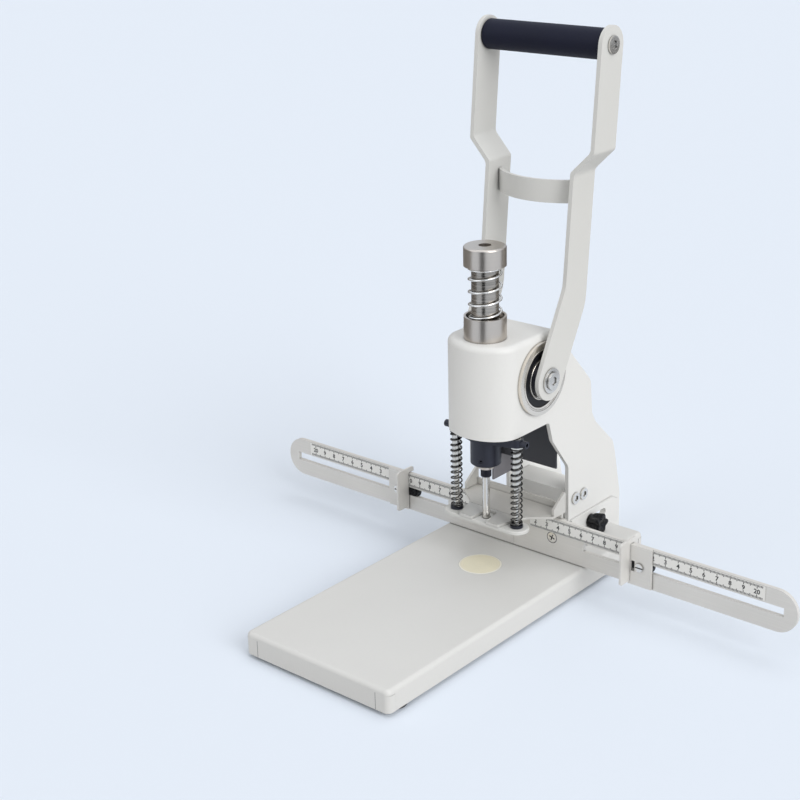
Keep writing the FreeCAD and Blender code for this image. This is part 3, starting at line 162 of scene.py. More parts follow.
def finish(name, code, grain, depth, shade, roughness, spread=0.05, patch=45.0, lathe=None,
           painted_recess_shade=0.45, **shader):
    """A finish: grain is the pattern's size along X, Y and Z and depth its height, in millimetres.

    Shade is how far the colour strays from its hex, and spread how far the roughness strays. Patch is
    the size of the slow shading. Painted_recess_shade is how much painted shade darkens the colour
    where the surface is shut in.
    """
    material = bpy.data.materials.new(name)
    material.use_nodes = True
    tree = material.node_tree
    tree.nodes.clear()
    where = add(tree, "ShaderNodeTexCoord").outputs["Object"]
    path = lathe_place(tree, where, *lathe) if lathe else where
    sized = add(tree, "ShaderNodeMapping", {"Vector": path, "Scale": [1000 / size for size in grain]})
    fine = add(tree, "ShaderNodeTexNoise",
               {"Vector": sized.outputs[0], "Scale": 1.0, "Detail": 2.0, "Roughness": 0.5}).outputs[0]
    slow = add(tree, "ShaderNodeTexNoise",
               {"Vector": where, "Scale": 1000 / patch, "Detail": 1.0}).outputs[0]
    mixed = add(tree, "ShaderNodeMath", {0: fine, 1: 0.5, 2: 0.0}, operation="MULTIPLY_ADD").outputs[0]
    mixed = add(tree, "ShaderNodeMath", {0: slow, 1: 0.5, 2: mixed}, operation="MULTIPLY_ADD").outputs[0]
    spot = add(tree, "ShaderNodeMapRange", {0: mixed, 1: NOISE_LOW, 2: NOISE_HIGH}).outputs[0]
    colour = np.array(linear(code))
    dark, light = colour * (1 - shade), np.minimum(colour * (1 + shade), 1.0)
    dark[3] = light[3] = 1.0
    tint = add(tree, "ShaderNodeMix", {0: spot, 6: dark.tolist(), 7: light.tolist()},
               data_type="RGBA")
    # Painted shade: the colour is darkened where the occlusion test finds the surface shut in.
    recess_occlusion = add(tree, "ShaderNodeAmbientOcclusion", {"Distance": RECESS_SHADE_REACH * MM}, samples=5)
    painted_shade_factor = add(tree, "ShaderNodeMapRange",
                   {0: recess_occlusion.outputs["AO"], 1: RECESS_SHADE_SHUT, 2: RECESS_SHADE_OPEN, 3: 1.0 - painted_recess_shade, 4: 1.0})
    tint = add(tree, "ShaderNodeVectorMath", {0: tint.outputs[2], 1: painted_shade_factor.outputs[0]},
               operation="MULTIPLY")
    gloss = add(tree, "ShaderNodeMapRange",
                {0: fine, 1: NOISE_LOW, 2: NOISE_HIGH, 3: roughness - spread,
                 4: roughness + spread}).outputs[0]
    bump = add(tree, "ShaderNodeBump", {"Height": fine, "Strength": 1.0, "Distance": depth * MM})
    surface = add(tree, "ShaderNodeBsdfPrincipled",
                  {"Base Color": tint.outputs[0], "Roughness": gloss, "Normal": bump.outputs[0]})
    for socket, value in shader.items():
        surface.inputs[socket.replace("_", " ")].default_value = value
    add(tree, "ShaderNodeOutputMaterial", {"Surface": surface.outputs[0]})
    material.diffuse_color = linear(code)
    return material


print("creases darken within", RECESS_SHADE_REACH, "mm")

# %% [markdown]
# ** Powder coat.** The head, column and lever are bent sheet steel under a white polyester powder
# coat, sprayed dry and baked. It gives the eye a soft satin with a faint orange peel about 1.5 mm
# across. The lever and the base have the same coat in a shade greyer. The cover and the plate in the
# throat are a little more matt. The cover is black enamel. The plate is violet-grey, a painted shade
# for the shadow under the head, and the same grey paints the shadow lines of the base's corner seams.
# A clear-coat layer was an option, but baked powder has no second layer, so plain roughness is truer.

# %% Powder coats and enamels
PEEL = (1.5, 1.5, 1.5)
white_coat = finish("white_powder_coat", "E4E4E2", PEEL, 0.006, 0.012, 0.42, IOR=1.5)
lever_coat = finish("light_grey_powder_coat", "D6D6D3", PEEL, 0.006, 0.012, 0.42, IOR=1.5)
base_coat = finish("pale_grey_powder_coat", "D8D8D6", (1.8, 1.8, 1.8), 0.006, 0.014, 0.38, IOR=1.5)
black_enamel = finish("satin_black_enamel", "3A3B40", PEEL, 0.006, 0.08, 0.45, IOR=1.5)
# Painted shade: this violet-grey stands for the shadow on the throat's side plate and at the base's
# corner seams.
painted_shade_grey = finish("painted_shade_violet_grey", "76757A", PEEL, 0.006, 0.05, 0.5, IOR=1.5)
print("coats: 5")

# %% [markdown]
# **Sheet metal.** The fence bars, the stops' clips and the presser's fork are steel sheet with a matt
# brushed face, whose lines run along the rolled length. The sliding deck is the same sheet with a
# duller zinc. Brush lines are about 0.1 mm wide, too fine for one pixel, so they are drawn 0.5 mm
# wide and 30 mm long.

# %% Brushed sheet
BRUSHED_X = (30.0, 0.5, 0.5)
fence_sheet = finish("brushed_steel_sheet", "E0DEDA", BRUSHED_X, 0.003, 0.05, 0.48, Metallic=0.3)
deck_sheet = finish("dull_zinc_sheet", "CFCDC8", (24.0, 0.6, 0.6), 0.003, 0.06, 0.55, Metallic=0.3)
fork_sheet = finish("brushed_steel_plate", "D2D1CD", (12.0, 0.5, 0.5), 0.003, 0.05, 0.45,
                    Metallic=0.35)
print("sheets: 3")

# %% [markdown]
# **Turned and ground steel.** The bearings' rings and the shaft turn about the lever's axis. The
# plunger, its cap and the drill turn about the drill's axis. The tool leaves rings a fraction of a
# millimetre apart, which here are 0.8 mm so that they show. Nickel is warmer and smoother than bare
# steel. Both are full metals with the shader's own IOR.

# %% Turned metals
ABOUT_DRILL = ((0.0, 0.0, 1.0), place((0, 0, 0)).tolist())
LEVER_AT = (0, 25.5, 159.5)
ABOUT_LEVER = ((1.0, 0.0, 0.0), place(LEVER_AT).tolist())
RINGS = (0.8, 0.8, 1.0)
bearing_steel = finish("ground_bearing_steel", "E4DDD3", RINGS, 0.004, 0.1, 0.2, 0.06,
                       lathe=ABOUT_LEVER, painted_recess_shade=0.7, Metallic=1.0)
rod_steel = finish("turned_steel", "B4AEA6", (1.0, 1.1, 1.0), 0.05, 0.4, 0.26, 0.08,
                   lathe=ABOUT_DRILL, painted_recess_shade=0.7, Metallic=1.0)
nickel = finish("satin_nickel_plate", "C8C0B7", RINGS, 0.0015, 0.03, 0.3, 0.02, lathe=ABOUT_DRILL,
                painted_recess_shade=0.7, Metallic=1.0)
drill_steel = finish("polished_tool_steel", "E2DFDA", (0.6, 1.2, 1.0), 0.002, 0.05, 0.16, 0.04,
                     lathe=ABOUT_DRILL, Metallic=1.0)
plain_steel = finish("bright_steel", "DAD7D1", (0.7, 0.7, 0.7), 0.003, 0.06, 0.24, painted_recess_shade=0.85,
                     Metallic=1.0)
bronze = finish("sintered_bronze", "B0844A", RINGS, 0.004, 0.08, 0.35, lathe=ABOUT_DRILL,
                Metallic=1.0)
print("turned metals: 6")

# %% [markdown]
# ** Small steel parts.** Screws are zinc plated, with a slightly clouded shine. The chuck and crossbar
# are blackened in a hot salt bath, which leaves a blue-black skin with a soft gloss. The big spring is
# plated bright. The two small ones are the same bright wire painted dark grey, a painted shade for the
# shadow between their coils. Both wires share the fine grain that drawing through a die leaves.

# %% Plated, blackened and drawn steel
WIRE_DRAW = (0.5, 0.5, 0.5)
zinc = finish("zinc_plate", "E6E3DE", (0.9, 0.9, 0.9), 0.004, 0.1, 0.2, 0.06, patch=6.0,
              painted_recess_shade=0.92, Metallic=1.0)
black_oxide = finish("black_oxide_steel", "20222F", (0.7, 0.7, 2.0), 0.003, 0.12, 0.36, 0.07,
                     patch=12.0, Metallic=0.35, IOR=1.6)
wire_steel = finish("drawn_spring_wire", "F0EDE8", WIRE_DRAW, 0.002, 0.1, 0.16, 0.04, painted_recess_shade=0.4,
                    Metallic=1.0)
# Painted shade: the presser springs' wire is painted dark grey for the shadow between their coils.
shade_painted_wire = finish("shade_painted_spring_wire", "5C5A58", WIRE_DRAW, 0.002, 0.15, 0.2, 0.05, painted_recess_shade=0.6,
                   Metallic=1.0)
print("small steel finishes: 4")

# %% [markdown]
# ** Rubber and plastic.** The grip is a navy-black foam rubber sleeve: matt, with fine closed
# pores. The clamp knob and the stops' sliders are moulded nylon, a little glossier with a fine
# spark grain. The feet and the bearings' seals are plain black rubber. The drilling pad is a cream
# nylon disc with the saw's circles on its face, and its edge ring is coloured a paler cream.

# %% Rubber and plastic
grip_foam = finish("foam_rubber", "0A0D22", (0.9, 0.9, 0.9), 0.03, 0.2, 0.6, IOR=1.33)
knob_nylon = finish("moulded_black_nylon", "07080F", (0.8, 0.8, 0.8), 0.01, 0.15, 0.3, IOR=1.35)
seal_rubber = finish("black_rubber", "131317", RINGS, 0.01, 0.2, 0.45, lathe=ABOUT_LEVER, IOR=1.4)
foot_rubber = finish("soft_black_rubber", "19191B", (1.2, 1.2, 1.2), 0.02, 0.15, 0.7, IOR=1.52)
PAD_AT = (0, -7.5, 0)
ABOUT_PAD = ((0.0, 0.0, 1.0), place(PAD_AT).tolist())
pad_nylon = finish("cut_cream_nylon", "ECE6CE", (0.9, 1.0, 1.0), 0.01, 0.05, 0.45, patch=14.0,
                   lathe=ABOUT_PAD, IOR=1.53)
pad_edge_nylon = finish("pale_cream_nylon_rim", "F6F3E8", (0.9, 1.0, 1.0), 0.004, 0.03, 0.4, IOR=1.53)
print("soft finishes: 6")

# %% [markdown]
# **Ruler.** The two scales are printed white film, glued to the fence: a smooth satin plastic. Its
# ink is a dark grey, matt and very slightly worn.

# %% Ruler film and ink
film = finish("printed_white_film", "F0F0EE", (2.0, 2.0, 2.0), 0.002, 0.012, 0.35, IOR=1.5)
ink = finish("dark_grey_ink", "1B1C20", (0.8, 0.8, 0.8), 0.001, 0.15, 0.6, IOR=1.5)
print("ruler finishes: 2")

# %% [markdown]
# The CAD nodes whose shapes are right stay as they are and only get their finish. A table from finish
# to node names is easier to check than sixty separate lines, and the count at the end proves that no
# node was forgotten. The four nodes that finer pieces replace further down are in it too.

# %% Dress the CAD nodes
dressed = {
    white_coat: "frame_shell rear_cover cross_block foot_brackets slide_bar",
    lever_coat: "lever_arm_right lever_arm_left cross_strap presser_plate",
    base_coat: "base_plate",
    black_enamel: "throat_cover",
    # The side plate's violet-grey is painted shade.
    painted_shade_grey: "side_guard",
    fence_sheet: "fence_bar_right fence_bar_left stop_clip_right stop_clip_left",
    deck_sheet: "carriage",
    fork_sheet: "presser_fork",
    bearing_steel: ("bearing_housings bearing_outer_races bearing_inner_races lever_shaft pinion "
                    "grip_rod bearing_balls"),
    rod_steel: "plunger_rack",
    nickel: "spring_cup plunger_cap chuck_ring",
    drill_steel: "hollow_drill",
    plain_steel: "guide_blocks guide_tubes spring_washers presser_pins clamp_stud",
    bronze: "plunger_bushes",
    zinc: ("wall_screws bracket_bolts grip_bolts shaft_bolts fence_screws stop_screw_right "
           "stop_screw_left"),
    black_oxide: "hub_spacers chuck chuck_set_screw bit_collar crossbar crossbar_screws pin_nuts",
    wire_steel: "return_spring presser_springs",
    grip_foam: "grip",
    knob_nylon: "clamp_knob stop_slider_right stop_slider_left",
    seal_rubber: "bearing_seals",
    foot_rubber: "rubber_feet",
    pad_nylon: "cutting_pad",
    film: "scale_strips",
}
done = []
for material, names in dressed.items():
    for name in names.split():
        for slot in nodes[name].material_slots:
            slot.material = material
        done.append(name)
print("dressed", len(done), "of", len(nodes), "nodes; left:", sorted(set(nodes) - set(done)))

# %% [markdown]
# New pieces are surfaces worked out as whole arrays. Most are a ring of points carried along a path:
# a grid of rows by columns whose columns close round. One helper makes the mesh from such a grid,
# closes its two ends, and turns the faces outward if the enclosed volume comes out negative.

# %% From arrays to a closed mesh
def volume(points, faces):
    """Six times the signed volume under quads: each is cut in two, and a . (b x c) is added."""
    a, b, c, d = (points[faces[:, i]] for i in range(4))
    return np.einsum("ij,ij->", a, np.cross(b, c)) + np.einsum("ij,ij->", a, np.cross(c, d))


def skin(name, tubes, material, body, smooth=True):
    """A closed mesh from grids of shape (rows, columns, 3): quads between neighbours, two ends."""
    points, faces, ends, start = [], [], [], 0
    for tube in tubes:
        rows, columns = tube.shape[:2]
        i, j = np.meshgrid(np.arange(rows - 1), np.arange(columns), indexing="ij")
        k = (j + 1) % columns
        corner = (i * columns + j, i * columns + k, (i + 1) * columns + k, (i + 1) * columns + j)
        quads = np.stack(corner, -1).reshape(-1, 4)
        flat = tube.reshape(-1, 3)
        first, last = np.arange(columns), np.arange(columns) + (rows - 1) * columns
        inside_out = volume(flat - flat.mean(0), quads) < 0
        faces += ((quads[:, ::-1] if inside_out else quads) + start).tolist()
        ends += [((first if inside_out else first[::-1]) + start).tolist(),
                 ((last[::-1] if inside_out else last) + start).tolist()]
        points.append(flat)
        start += len(flat)
    mesh = bpy.data.meshes.new(name)
    mesh.from_pydata(np.concatenate(points).tolist(), [], faces + ends)
    mesh.polygons.foreach_set("use_smooth", np.full(len(mesh.polygons), smooth))
    mesh.materials.append(material)
    piece = bpy.data.objects.new(name, mesh)
    bpy.context.scene.collection.objects.link(piece)
    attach(piece, body)
    print(name, "faces", len(mesh.polygons))
    return piece


print("skin() is ready")

# %% [markdown]
# **Springs.** Both the return spring under the cap and the two presser springs are wound wire with
# closed ends: the first and last turn nearly touch their neighbour, and those between are evenly open.
# A Screw modifier can't change its pitch along the way, so the helix is written out. Its pitch is the
# wire's thickness near the ends and one even value between, chosen so that the heights add up.

# %% Wound springs
STEPS_PER_TURN = 36
WIRE_SIDES = 12
CLOSED_TURNS, OPENING_TURNS = 0.7, 0.5
CLOSED_GAP = 0.08


def coil(wire, mean_radius, centre, low, high, turns, start=0.0):
    """A wire of radius wire / 2 carried along centre + mean_radius * (cos t, sin t) and height(t).

    The height is the running sum of the pitch, which goes smoothly from closed to open to closed.
    """
    turn = np.linspace(0, turns, int(turns * STEPS_PER_TURN) + 1)
    edge = np.minimum(turn, turns - turn)
    blend = np.clip((edge - CLOSED_TURNS) / OPENING_TURNS, 0, 1)
    blend = blend * blend * (3 - 2 * blend)
    step = turn[1] - turn[0]
    shut = np.concatenate(([0], np.cumsum((2 - blend[1:] - blend[:-1]) / 2 * step)))
    closed = (wire + CLOSED_GAP) * shut
    opened = np.concatenate(([0], np.cumsum((blend[1:] + blend[:-1]) / 2 * step)))
    pitch = (high - low - wire - closed[-1]) / opened[-1]
    height = low + wire / 2 + closed + pitch * opened
    t = 2 * np.pi * turn + start
    out = np.stack((np.cos(t), np.sin(t), 0 * t), -1)
    line = np.array((centre[0], centre[1], 0.0)) + mean_radius * out + height[:, None] * (0, 0, 1)
    ahead = np.gradient(line, axis=0)
    ahead /= np.linalg.norm(ahead, axis=1, keepdims=True)
    over = np.cross(ahead, out)
    v = np.linspace(0, 2 * np.pi, WIRE_SIDES, endpoint=False)
    ring = np.cos(v)[None, :, None] * out[:, None] + np.sin(v)[None, :, None] * over[:, None]
    return place(line[:, None] + wire / 2 * ring), pitch


tube, pitch = coil(1.5, 11.2, (0, 0), 191.7, 242.3, 7, start=2.4)
return_coil = skin("return_coil", [tube], wire_steel, "frame")
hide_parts("return_spring")
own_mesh(return_coil)
print("return spring pitch", round(pitch, 2), "mm")

pair = [coil(1.1, 3.9, (side * 27.0, 0), 55.8, 115.0, 15, start=side * 0.9)[0]
        for side in (-1, 1)]
# The presser springs use the dark, shade-painted wire.
presser_coils = skin("presser_coils", pair, shade_painted_wire, "plunger")
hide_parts("presser_springs")
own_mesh(presser_coils)

# %% [markdown]
# **Knurled collar.** Between the chuck and the drill sits a small collar with straight knurling, so
# that fingers can hold it. Its section is a ring with bevelled rims, and its radius dips between 28
# ribs. A texture bump would leave its outline smooth, so the ribs are in the surface.

# %% Bit collar
def turned(outline, axis, centre, steps=96, ribs=0, dip=0.0, grip=None):
    """A closed outline of (radius, along) pairs turned about an axis: a grid of angles by points.

    The radius loses dip * grip * (0.5 - 0.5 cos(ribs * angle)), where grip has a weight per point.
    """
    radius, along = np.array(outline, float).T
    angle = np.linspace(0, 2 * np.pi, steps + 1)[:, None]
    wave = dip * (0.5 - 0.5 * np.cos(ribs * angle))
    hold = np.zeros(len(radius)) if grip is None else np.array(grip)
    r = radius[None, :] - wave * hold[None, :]
    ring = (r * np.cos(angle), r * np.sin(angle), along[None, :] + 0 * r)
    order = {"X": (2, 0, 1), "Y": (1, 2, 0), "Z": (0, 1, 2)}[axis]
    return place(np.stack([ring[i] for i in order], -1) + np.array(centre))


COLLAR_RIBS, COLLAR_DIP = 28, 0.4
collar_outline = [(3.55, 86.4), (3.9, 86.75), (3.9, 87.1), (3.9, 92.2), (3.9, 92.55), (3.55, 92.9),
                  (3.25, 92.9), (3.25, 86.4)]
knurled = (0, 0.6, 1, 1, 0.6, 0, 0, 0)
tube = turned(collar_outline, "Z", (0, 0, 0), 8 * COLLAR_RIBS, COLLAR_RIBS, COLLAR_DIP, knurled)
collar = skin("knurled_collar", [tube], black_oxide, "plunger", smooth=False)
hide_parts("bit_collar")

# %% [markdown]
# ** Turned rings.** The ball bearing's outer ring has fine turned grooves that show as dark circles,
# and its inner ring has a rounded lip that shines as a thin line between the black seal and the black
# hub. Each countersunk fence screw sits in a hole a little wider than its head, and a thin black ring
# round the head is a painted shadow of that gap. The drilling pad has a narrow edge ring coloured a
# paler cream than its face. All of these are outlines turned about an axis.

# %% Turned rings
def both_sides(outline):
    """The right ring and its mirror image: the same outline with its distance along X negated."""
    return [turned([(r, side * x) for r, x in outline], "X", LEVER_AT) for side in (1, -1)]


grooved = [(20.8, 30.92), (20.8, 31.1), (21.0, 31.3), (21.9, 31.3), (22.1, 31.0), (22.5, 31.0),
           (22.7, 31.3), (23.3, 31.3), (23.48, 31.1), (23.48, 30.92)]
outer_lips = skin("outer_race_lips", both_sides(grooved), bearing_steel, "frame", smooth=False)
rounded = [(14.3, 30.92), (14.35, 31.15), (14.7, 31.3), (15.05, 31.15), (15.1, 30.92)]
inner_lips = skin("inner_race_lips", both_sides(rounded), bearing_steel, "lever")
SCREW_X, SCREW_Z = 34.5, 35.2
# Painted shadow: a thin black ring round each fence screw's head stands for the shade in its hole.
rim = [(3.95, 33.02), (3.95, 32.95), (4.35, 32.95), (4.35, 33.02)]
screw_gap_shadows = skin("painted_screw_gap_shadows", [turned(rim, "Y", (x, 0, SCREW_Z)) for x in (-SCREW_X, SCREW_X)],
            black_oxide, "carriage", smooth=False)
broken = [(14.6, 18.9), (14.6, 19.28), (15.45, 19.28), (15.68, 19.05), (15.68, 18.9)]
pad_edge = skin("pad_edge", [turned(broken, "Z", PAD_AT)], pad_edge_nylon, "pad", smooth=False)

# %% [markdown]
# **Star knob.** The clamp knob is a moulded star with five soft lobes. It is narrow at its boss and
# flares towards the face, and the face is a little hollow. The same turned outline makes it: five slow
# ribs, deep in the flare and gone at the boss and the face.

# %% Clamp knob
KNOB_AT = (0, 88.0, 27.5)
KNOB_LOBES, LOBE_DIP = 5, 2.6
knob_outline = [(0.02, 30.8), (5.2, 30.8), (5.2, 33.1), (6.1, 33.4), (6.6, 34.6), (7.1, 36.8),
                (7.6, 39.4), (7.85, 40.9), (7.75, 41.7), (7.3, 42.15), (6.5, 42.3), (4.6, 42.1),
                (3.0, 41.6), (0.02, 41.5)]
lobed = (0, 0, 0, 0.5, 0.8, 1, 1, 1, 1, 0.95, 0.8, 0.3, 0, 0)
tube = turned(knob_outline, "X", KNOB_AT, 24 * KNOB_LOBES, KNOB_LOBES, LOBE_DIP, lobed)
star = skin("star_knob", [tube], knob_nylon, "knob")
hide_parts("clamp_knob")

# %% [markdown]
# **Ruler marks.** Both scales count centimetres outwards from the drill, with a row of millimetre
# ticks along the top and the bottom edge. Each tick is a tiny flat bar, and every fifth and tenth is
# longer. There are hundreds, so all of their corners come from one array.

# %% Ruler ticks
STRIP_FRONT = 32.6
STRIP_LOW, STRIP_HIGH = 39.4, 50.0
INK_HEIGHT = 0.04
FIRST_TICK, LAST_TICK = 16, 204
TICK_WIDTH, TICK_INSET = 0.5, 0.3
CENTIMETRE_TICK, HALF_TICK, MILLIMETRE_TICK = 2.8, 2.2, 1.5


def bars(name, low, high, material, body):
    """Boxes from two arrays of corners: eight corners each, picked low or high, and six quads."""
    pick = np.array([[i & 1, i >> 1 & 1, i >> 2 & 1] for i in range(8)], bool)
    points = np.where(pick[None], high[:, None], low[:, None]).reshape(-1, 3)
    sides = np.array([(0, 2, 3, 1), (4, 5, 7, 6), (0, 1, 5, 4), (2, 6, 7, 3), (0, 4, 6, 2), (1, 3, 7, 5)])
    faces = (sides[None] + 8 * np.arange(len(low))[:, None, None]).reshape(-1, 4)
    mesh = bpy.data.meshes.new(name)
    mesh.from_pydata(place(points).tolist(), [], faces.tolist())
    mesh.materials.append(material)
    piece = bpy.data.objects.new(name, mesh)
    bpy.context.scene.collection.objects.link(piece)
    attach(piece, body)
    print(name, "bars", len(low))
    return piece


mark = np.arange(FIRST_TICK, LAST_TICK + 1)
reach = np.select([mark % 10 == 0, mark % 5 == 0], [CENTIMETRE_TICK, HALF_TICK], MILLIMETRE_TICK)
x = np.concatenate([side * mark for side in (-1, 1)] * 2).astype(float)
tall = np.tile(reach, 4)
upper = np.arange(len(x)) < len(x) / 2
low_z = np.where(upper, STRIP_HIGH - TICK_INSET - tall, STRIP_LOW + TICK_INSET)
front = np.full(len(x), STRIP_FRONT - INK_HEIGHT)
ticks = bars("ruler_ticks", np.stack((x - TICK_WIDTH / 2, front, low_z), -1),
             np.stack((x + TICK_WIDTH / 2, front + 2 * INK_HEIGHT, low_z + tall), -1),
             ink, "carriage")

# %% [markdown]
# The scale prints 10 and 20 in full and only the last digit of the others. Each label is a text curve
# that is made a mesh, scaled to 3.5 mm and laid on the film. Its x stays x, its height becomes Z, and
# it faces the front. All labels are joined into one piece.

# %% Ruler numbers
def label_mesh(text):
    """The triangles of a text curve with a slight thickness, centred on x and on its height."""
    curve = bpy.data.curves.new("label", "FONT")
    curve.body = text
    curve.align_x = "CENTER"
    curve.extrude = 0.02
    curve.offset = 0.025
    curve.resolution_u = 3
    holder = bpy.data.objects.new("label", curve)
    bpy.context.scene.collection.objects.link(holder)
    depsgraph = bpy.context.evaluated_depsgraph_get()
    mesh = bpy.data.meshes.new_from_object(holder.evaluated_get(depsgraph))
    mesh.calc_loop_triangles()
    points = np.zeros(len(mesh.vertices) * 3)
    mesh.vertices.foreach_get("co", points)
    corners = np.zeros(len(mesh.loop_triangles) * 3, int)
    mesh.loop_triangles.foreach_get("vertices", corners)
    bpy.data.objects.remove(holder)
    bpy.data.meshes.remove(mesh)
    bpy.data.curves.remove(curve)
    return points.reshape(-1, 3), corners.reshape(-1, 3)


DIGIT_HEIGHT = 3.5
DIGIT_Z = 44.6
points, faces, start = [], [], 0
for centimetre in range(2, 21):
    text = str(centimetre) if centimetre % 10 == 0 else str(centimetre % 10)
    flat, corners = label_mesh(text)
    scale = DIGIT_HEIGHT / np.ptp(flat[:, 1])
    middle = (flat[:, 1].max() + flat[:, 1].min()) / 2
    for side in (-1, 1):
        shape = np.stack((flat[:, 0] * scale + side * centimetre * 10,
                          STRIP_FRONT - np.sign(flat[:, 2]) * INK_HEIGHT,
                          (flat[:, 1] - middle) * scale + DIGIT_Z), -1)
        points.append(shape)
        faces.append(corners + start)
        start += len(shape)
mesh = bpy.data.meshes.new("ruler_numbers")
mesh.from_pydata(place(np.concatenate(points)).tolist(), [], np.concatenate(faces).tolist())
mesh.materials.append(ink)
numbers = bpy.data.objects.new("ruler_numbers", mesh)
bpy.context.scene.collection.objects.link(numbers)
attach(numbers, "carriage")
print("ruler labels", len(points), "triangles", len(mesh.polygons))

# %% [markdown]
# ** Folded corners.** The base is a sheet folded down on all sides. At each corner a short tab of the
# side flange is wrapped round on to the end flange, and along its edge a thin grey bar paints the
# shadow line of the seam. The tab follows the corner's outline: a straight run, a quarter circle, a
# straight run. It stands 0.35 mm out at the sides and is ground nearly flush at the ends, so that the
# base keeps its length.

# %% Base corner tabs
BASE_X = 63.5
BASE_FRONT, BASE_REAR = -183.0, 110.5
END_X, SIDE_Y = 11.0, 6.5
CORNER_RADIUS = 4.0
TAB_LOW, TAB_HIGH = 3.2, 15.4
TAB_DEPTH = 0.2
STAND_SIDE, STAND_END = 0.35, 0.02
SHADOW_LINE_HALF, SHADOW_LINE_PROUD = 0.2, 0.03


def corner_path(x, y, stand_x, stand_y):
    """Points round a corner in plan: along x, a quarter circle and along y, moved out by stand."""
    turn = np.linspace(0, np.pi / 2, 9)
    side_x, side_y = np.sign(x), np.sign(y)
    arc = np.stack((x + side_x * ((CORNER_RADIUS + stand_x) * np.sin(turn) - CORNER_RADIUS),
                    y + side_y * ((CORNER_RADIUS + stand_y) * np.cos(turn) - CORNER_RADIUS)), -1)
    first = (x - side_x * END_X, y + side_y * stand_y)
    last = (x + side_x * stand_x, y - side_y * SIDE_Y)
    return np.vstack((first, arc, last))


def tab(x, y):
    """A wall carried along the corner's path: inner and outer line at its bottom and its top."""
    inner = corner_path(x, y, -TAB_DEPTH, -TAB_DEPTH)
    outer = corner_path(x, y, STAND_SIDE, STAND_END)
    section = [np.column_stack((line, np.full(len(line), z)))
               for line, z in ((inner, TAB_LOW), (outer, TAB_LOW), (outer, TAB_HIGH), (inner, TAB_HIGH))]
    return place(np.stack(section, 1))


corners = [(x, y) for x in (-BASE_X, BASE_X) for y in (BASE_FRONT, BASE_REAR)]
tabs = skin("corner_tabs", [tab(x, y) for x, y in corners], base_coat, "frame", smooth=False)
edge = np.array([(x - np.sign(x) * END_X, y, 0.0) for x, y in corners])
# Painted shadow lines: thin violet-grey bars along the tabs' edges stand for the shade of each seam.
seam_shadow_lines = bars("tab_seam_shadow_lines", edge + (-SHADOW_LINE_HALF, -SHADOW_LINE_PROUD, TAB_LOW),
             edge + (SHADOW_LINE_HALF, SHADOW_LINE_PROUD, TAB_HIGH), painted_shade_grey, "frame")

# %% [markdown]
# **Studio.** The photograph has a pale blue ground and soft light, brightest on the machine's right.
# The floor is one wide sheet. It is pale blue to the camera and to shiny metal, and neutral to all
# other light, so that it doesn't tint the paint.

# %% Floor
def stage_floor(half, material):
    """A flat sheet at z = 0: a grid of corners from -half to half along x and y."""
    side = np.linspace(-half, half, 3)
    x, y = np.meshgrid(side, side, indexing="ij")
    grid = np.stack((x, y, 0 * x), -1).reshape(-1, 3)
    i, j = np.meshgrid(np.arange(2), np.arange(2), indexing="ij")
    corner = (i * 3 + j, (i + 1) * 3 + j, (i + 1) * 3 + j + 1, i * 3 + j + 1)
    faces = np.stack(corner, -1).reshape(-1, 4)
    mesh = bpy.data.meshes.new("floor")
    mesh.from_pydata(grid.tolist(), [], faces.tolist())
    mesh.materials.append(material)
    sheet = bpy.data.objects.new("floor", mesh)
    bpy.context.scene.collection.objects.link(sheet)
    return sheet


def seen_directly(tree):
    """One where the camera, a mirror or clear glass looks straight at the stage, else zero."""
    path = add(tree, "ShaderNodeLightPath").outputs
    total = add(tree, "ShaderNodeMath", {0: path["Is Camera Ray"], 1: path["Is Glossy Ray"]})
    seen = add(tree, "ShaderNodeMath", {0: total.outputs[0], 1: path["Is Transmission Ray"]},
               use_clamp=True)
    return seen.outputs[0]


GROUND = "E4ECF7"
FLOOR_HALF = 12.0
floor_paper = bpy.data.materials.new("pale_blue_paper")
floor_paper.use_nodes = True
tree = floor_paper.node_tree
tree.nodes.clear()
shown = add(tree, "ShaderNodeMix", {0: seen_directly(tree), 6: linear("DADADA"), 7: linear(GROUND)},
            data_type="RGBA")
sheet = add(tree, "ShaderNodeBsdfDiffuse", {"Color": shown.outputs[2]})
add(tree, "ShaderNodeOutputMaterial", {"Surface": sheet.outputs[0]})
floor = stage_floor(FLOOR_HALF, floor_paper)
print("floor", 2 * FLOOR_HALF, "m wide")

# %% [markdown]
# The world fills the shadows with even white light, and shows the same pale blue as the floor where it
# is looked at, so that no horizon is seen.

# %% World
world = bpy.data.worlds.new("studio")
bpy.context.scene.world = world
world.use_nodes = True
tree = world.node_tree
tree.nodes.clear()
FILL = 0.48
soft = add(tree, "ShaderNodeBackground", {"Color": (1.0, 1.0, 1.0, 1.0), "Strength": FILL})
ground = add(tree, "ShaderNodeBackground", {"Color": linear(GROUND), "Strength": 1.0})
both = add(tree, "ShaderNodeMixShader",
           {0: seen_directly(tree), 1: soft.outputs[0], 2: ground.outputs[0]})
add(tree, "ShaderNodeOutputWorld", {"Surface": both.outputs[0]})
print("world fill", FILL)

# %% [markdown]
# Three broad suns give even light at any distance: the key from the right, a weak fill from the left
# and one from above. With the world they light a level white sheet to just about white.

# %% Suns
def sun(name, towards, level, spread):
    """A sun that stands towards a direction, at level times the light that makes white white."""
    lamp = bpy.data.lights.new(name, "SUN")
    lamp.energy = level * math.pi
    lamp.angle = math.radians(spread)
    holder = bpy.data.objects.new(name, lamp)
    holder.rotation_euler = Vector(towards).to_track_quat("Z", "Y").to_euler()
    bpy.context.scene.collection.objects.link(holder)


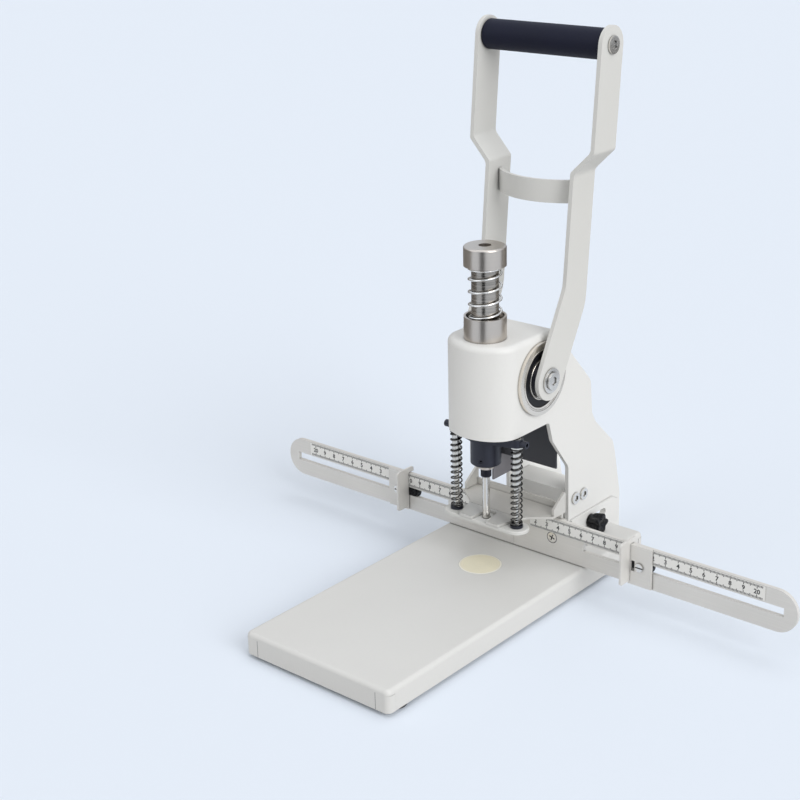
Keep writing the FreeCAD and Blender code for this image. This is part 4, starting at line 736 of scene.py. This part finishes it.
sun("key_from_the_right", (0.86, -0.18, 0.48), 0.5, 40)
sun("fill_from_the_left", (-0.45, -0.72, 0.62), 0.1, 50)
sun("top_light", (0.05, 0.15, 1.0), 0.24, 60)
bpy.context.scene.view_settings.view_transform = "Standard"
print("suns: 3")

# %% [markdown]
# The throat between the column's walls is open to the camera, but the right wall keeps the key light
# out of it, and the photograph shows it bright. A small soft lamp stands inside the right wall, where
# no camera sees it, and lights the inner face of the left wall. It hangs high, since nearer to the
# cross block it would burn a white spot on it.

# %% Throat lamp
LAMP_AT = (24.5, 110.0, 76.0)
LAMP_LONG, LAMP_HIGH = 0.04, 0.035
LAMP_WATTS = 0.022
inside = bpy.data.lights.new("throat_lamp", "AREA")
inside.shape, inside.size, inside.size_y = "RECTANGLE", LAMP_LONG, LAMP_HIGH
inside.energy = LAMP_WATTS
lamp = bpy.data.objects.new("throat_lamp", inside)
lamp.location = place(LAMP_AT).tolist()
lamp.rotation_euler = Vector((1.0, 0.0, 0.0)).to_track_quat("Z", "Y").to_euler()
lamp.visible_camera = lamp.visible_glossy = False
bpy.context.scene.collection.objects.link(lamp)
print("throat lamp", LAMP_WATTS, "W")

# %% [markdown]
# Round polished metal shows its roundness through stripes, and in an all-pale studio it would look
# like grey plastic. Photographers stand black and grey cards beside such pieces. These are upright
# sheets 0.4 m from the drill that only mirrors can see: a narrow black one near the camera, and wide
# grey ones at the left and behind. The camera looks down, so its rays leave an upright wall
# downwards, and cards further away would be missed.

# %% Cards for the reflections
CARD_HEIGHT = 0.34


def card_cloth(name, code):
    """Plain matt card."""
    cloth = bpy.data.materials.new(name)
    cloth.use_nodes = True
    cloth.node_tree.nodes.clear()
    face = add(cloth.node_tree, "ShaderNodeBsdfDiffuse", {"Color": linear(code)})
    add(cloth.node_tree, "ShaderNodeOutputMaterial", {"Surface": face.outputs[0]})
    return cloth


def card(name, azimuth, distance, wide, cloth):
    """An upright sheet that faces the drill, distance away at an azimuth counted from the front."""
    a = math.radians(azimuth)
    middle = np.array((math.sin(a), -math.cos(a), 0.0)) * distance
    across = np.array((math.cos(a), math.sin(a), 0.0)) * wide / 2
    left, right = middle - across, middle + across
    rise = np.array((0.0, 0.0, CARD_HEIGHT))
    edges = np.stack((left, right, right + rise, left + rise))
    mesh = bpy.data.meshes.new(name)
    mesh.from_pydata((edges + (0.0, DRILL_Y * MM, 0.0)).tolist(), [], [(0, 1, 2, 3)])
    mesh.materials.append(cloth)
    sheet = bpy.data.objects.new(name, mesh)
    bpy.context.scene.collection.objects.link(sheet)
    sheet.visible_camera = sheet.visible_diffuse = False
    sheet.visible_shadow = sheet.visible_transmission = False


black_card, grey_card = card_cloth("black_card", "303032"), card_cloth("grey_card", "8A8886")
card("card_front", 24.0, 0.40, 0.19, black_card)
card("card_left", -86.0, 0.42, 1.0, grey_card)
card("card_back", 178.0, 0.42, 0.86, grey_card)
print("cards: 3")
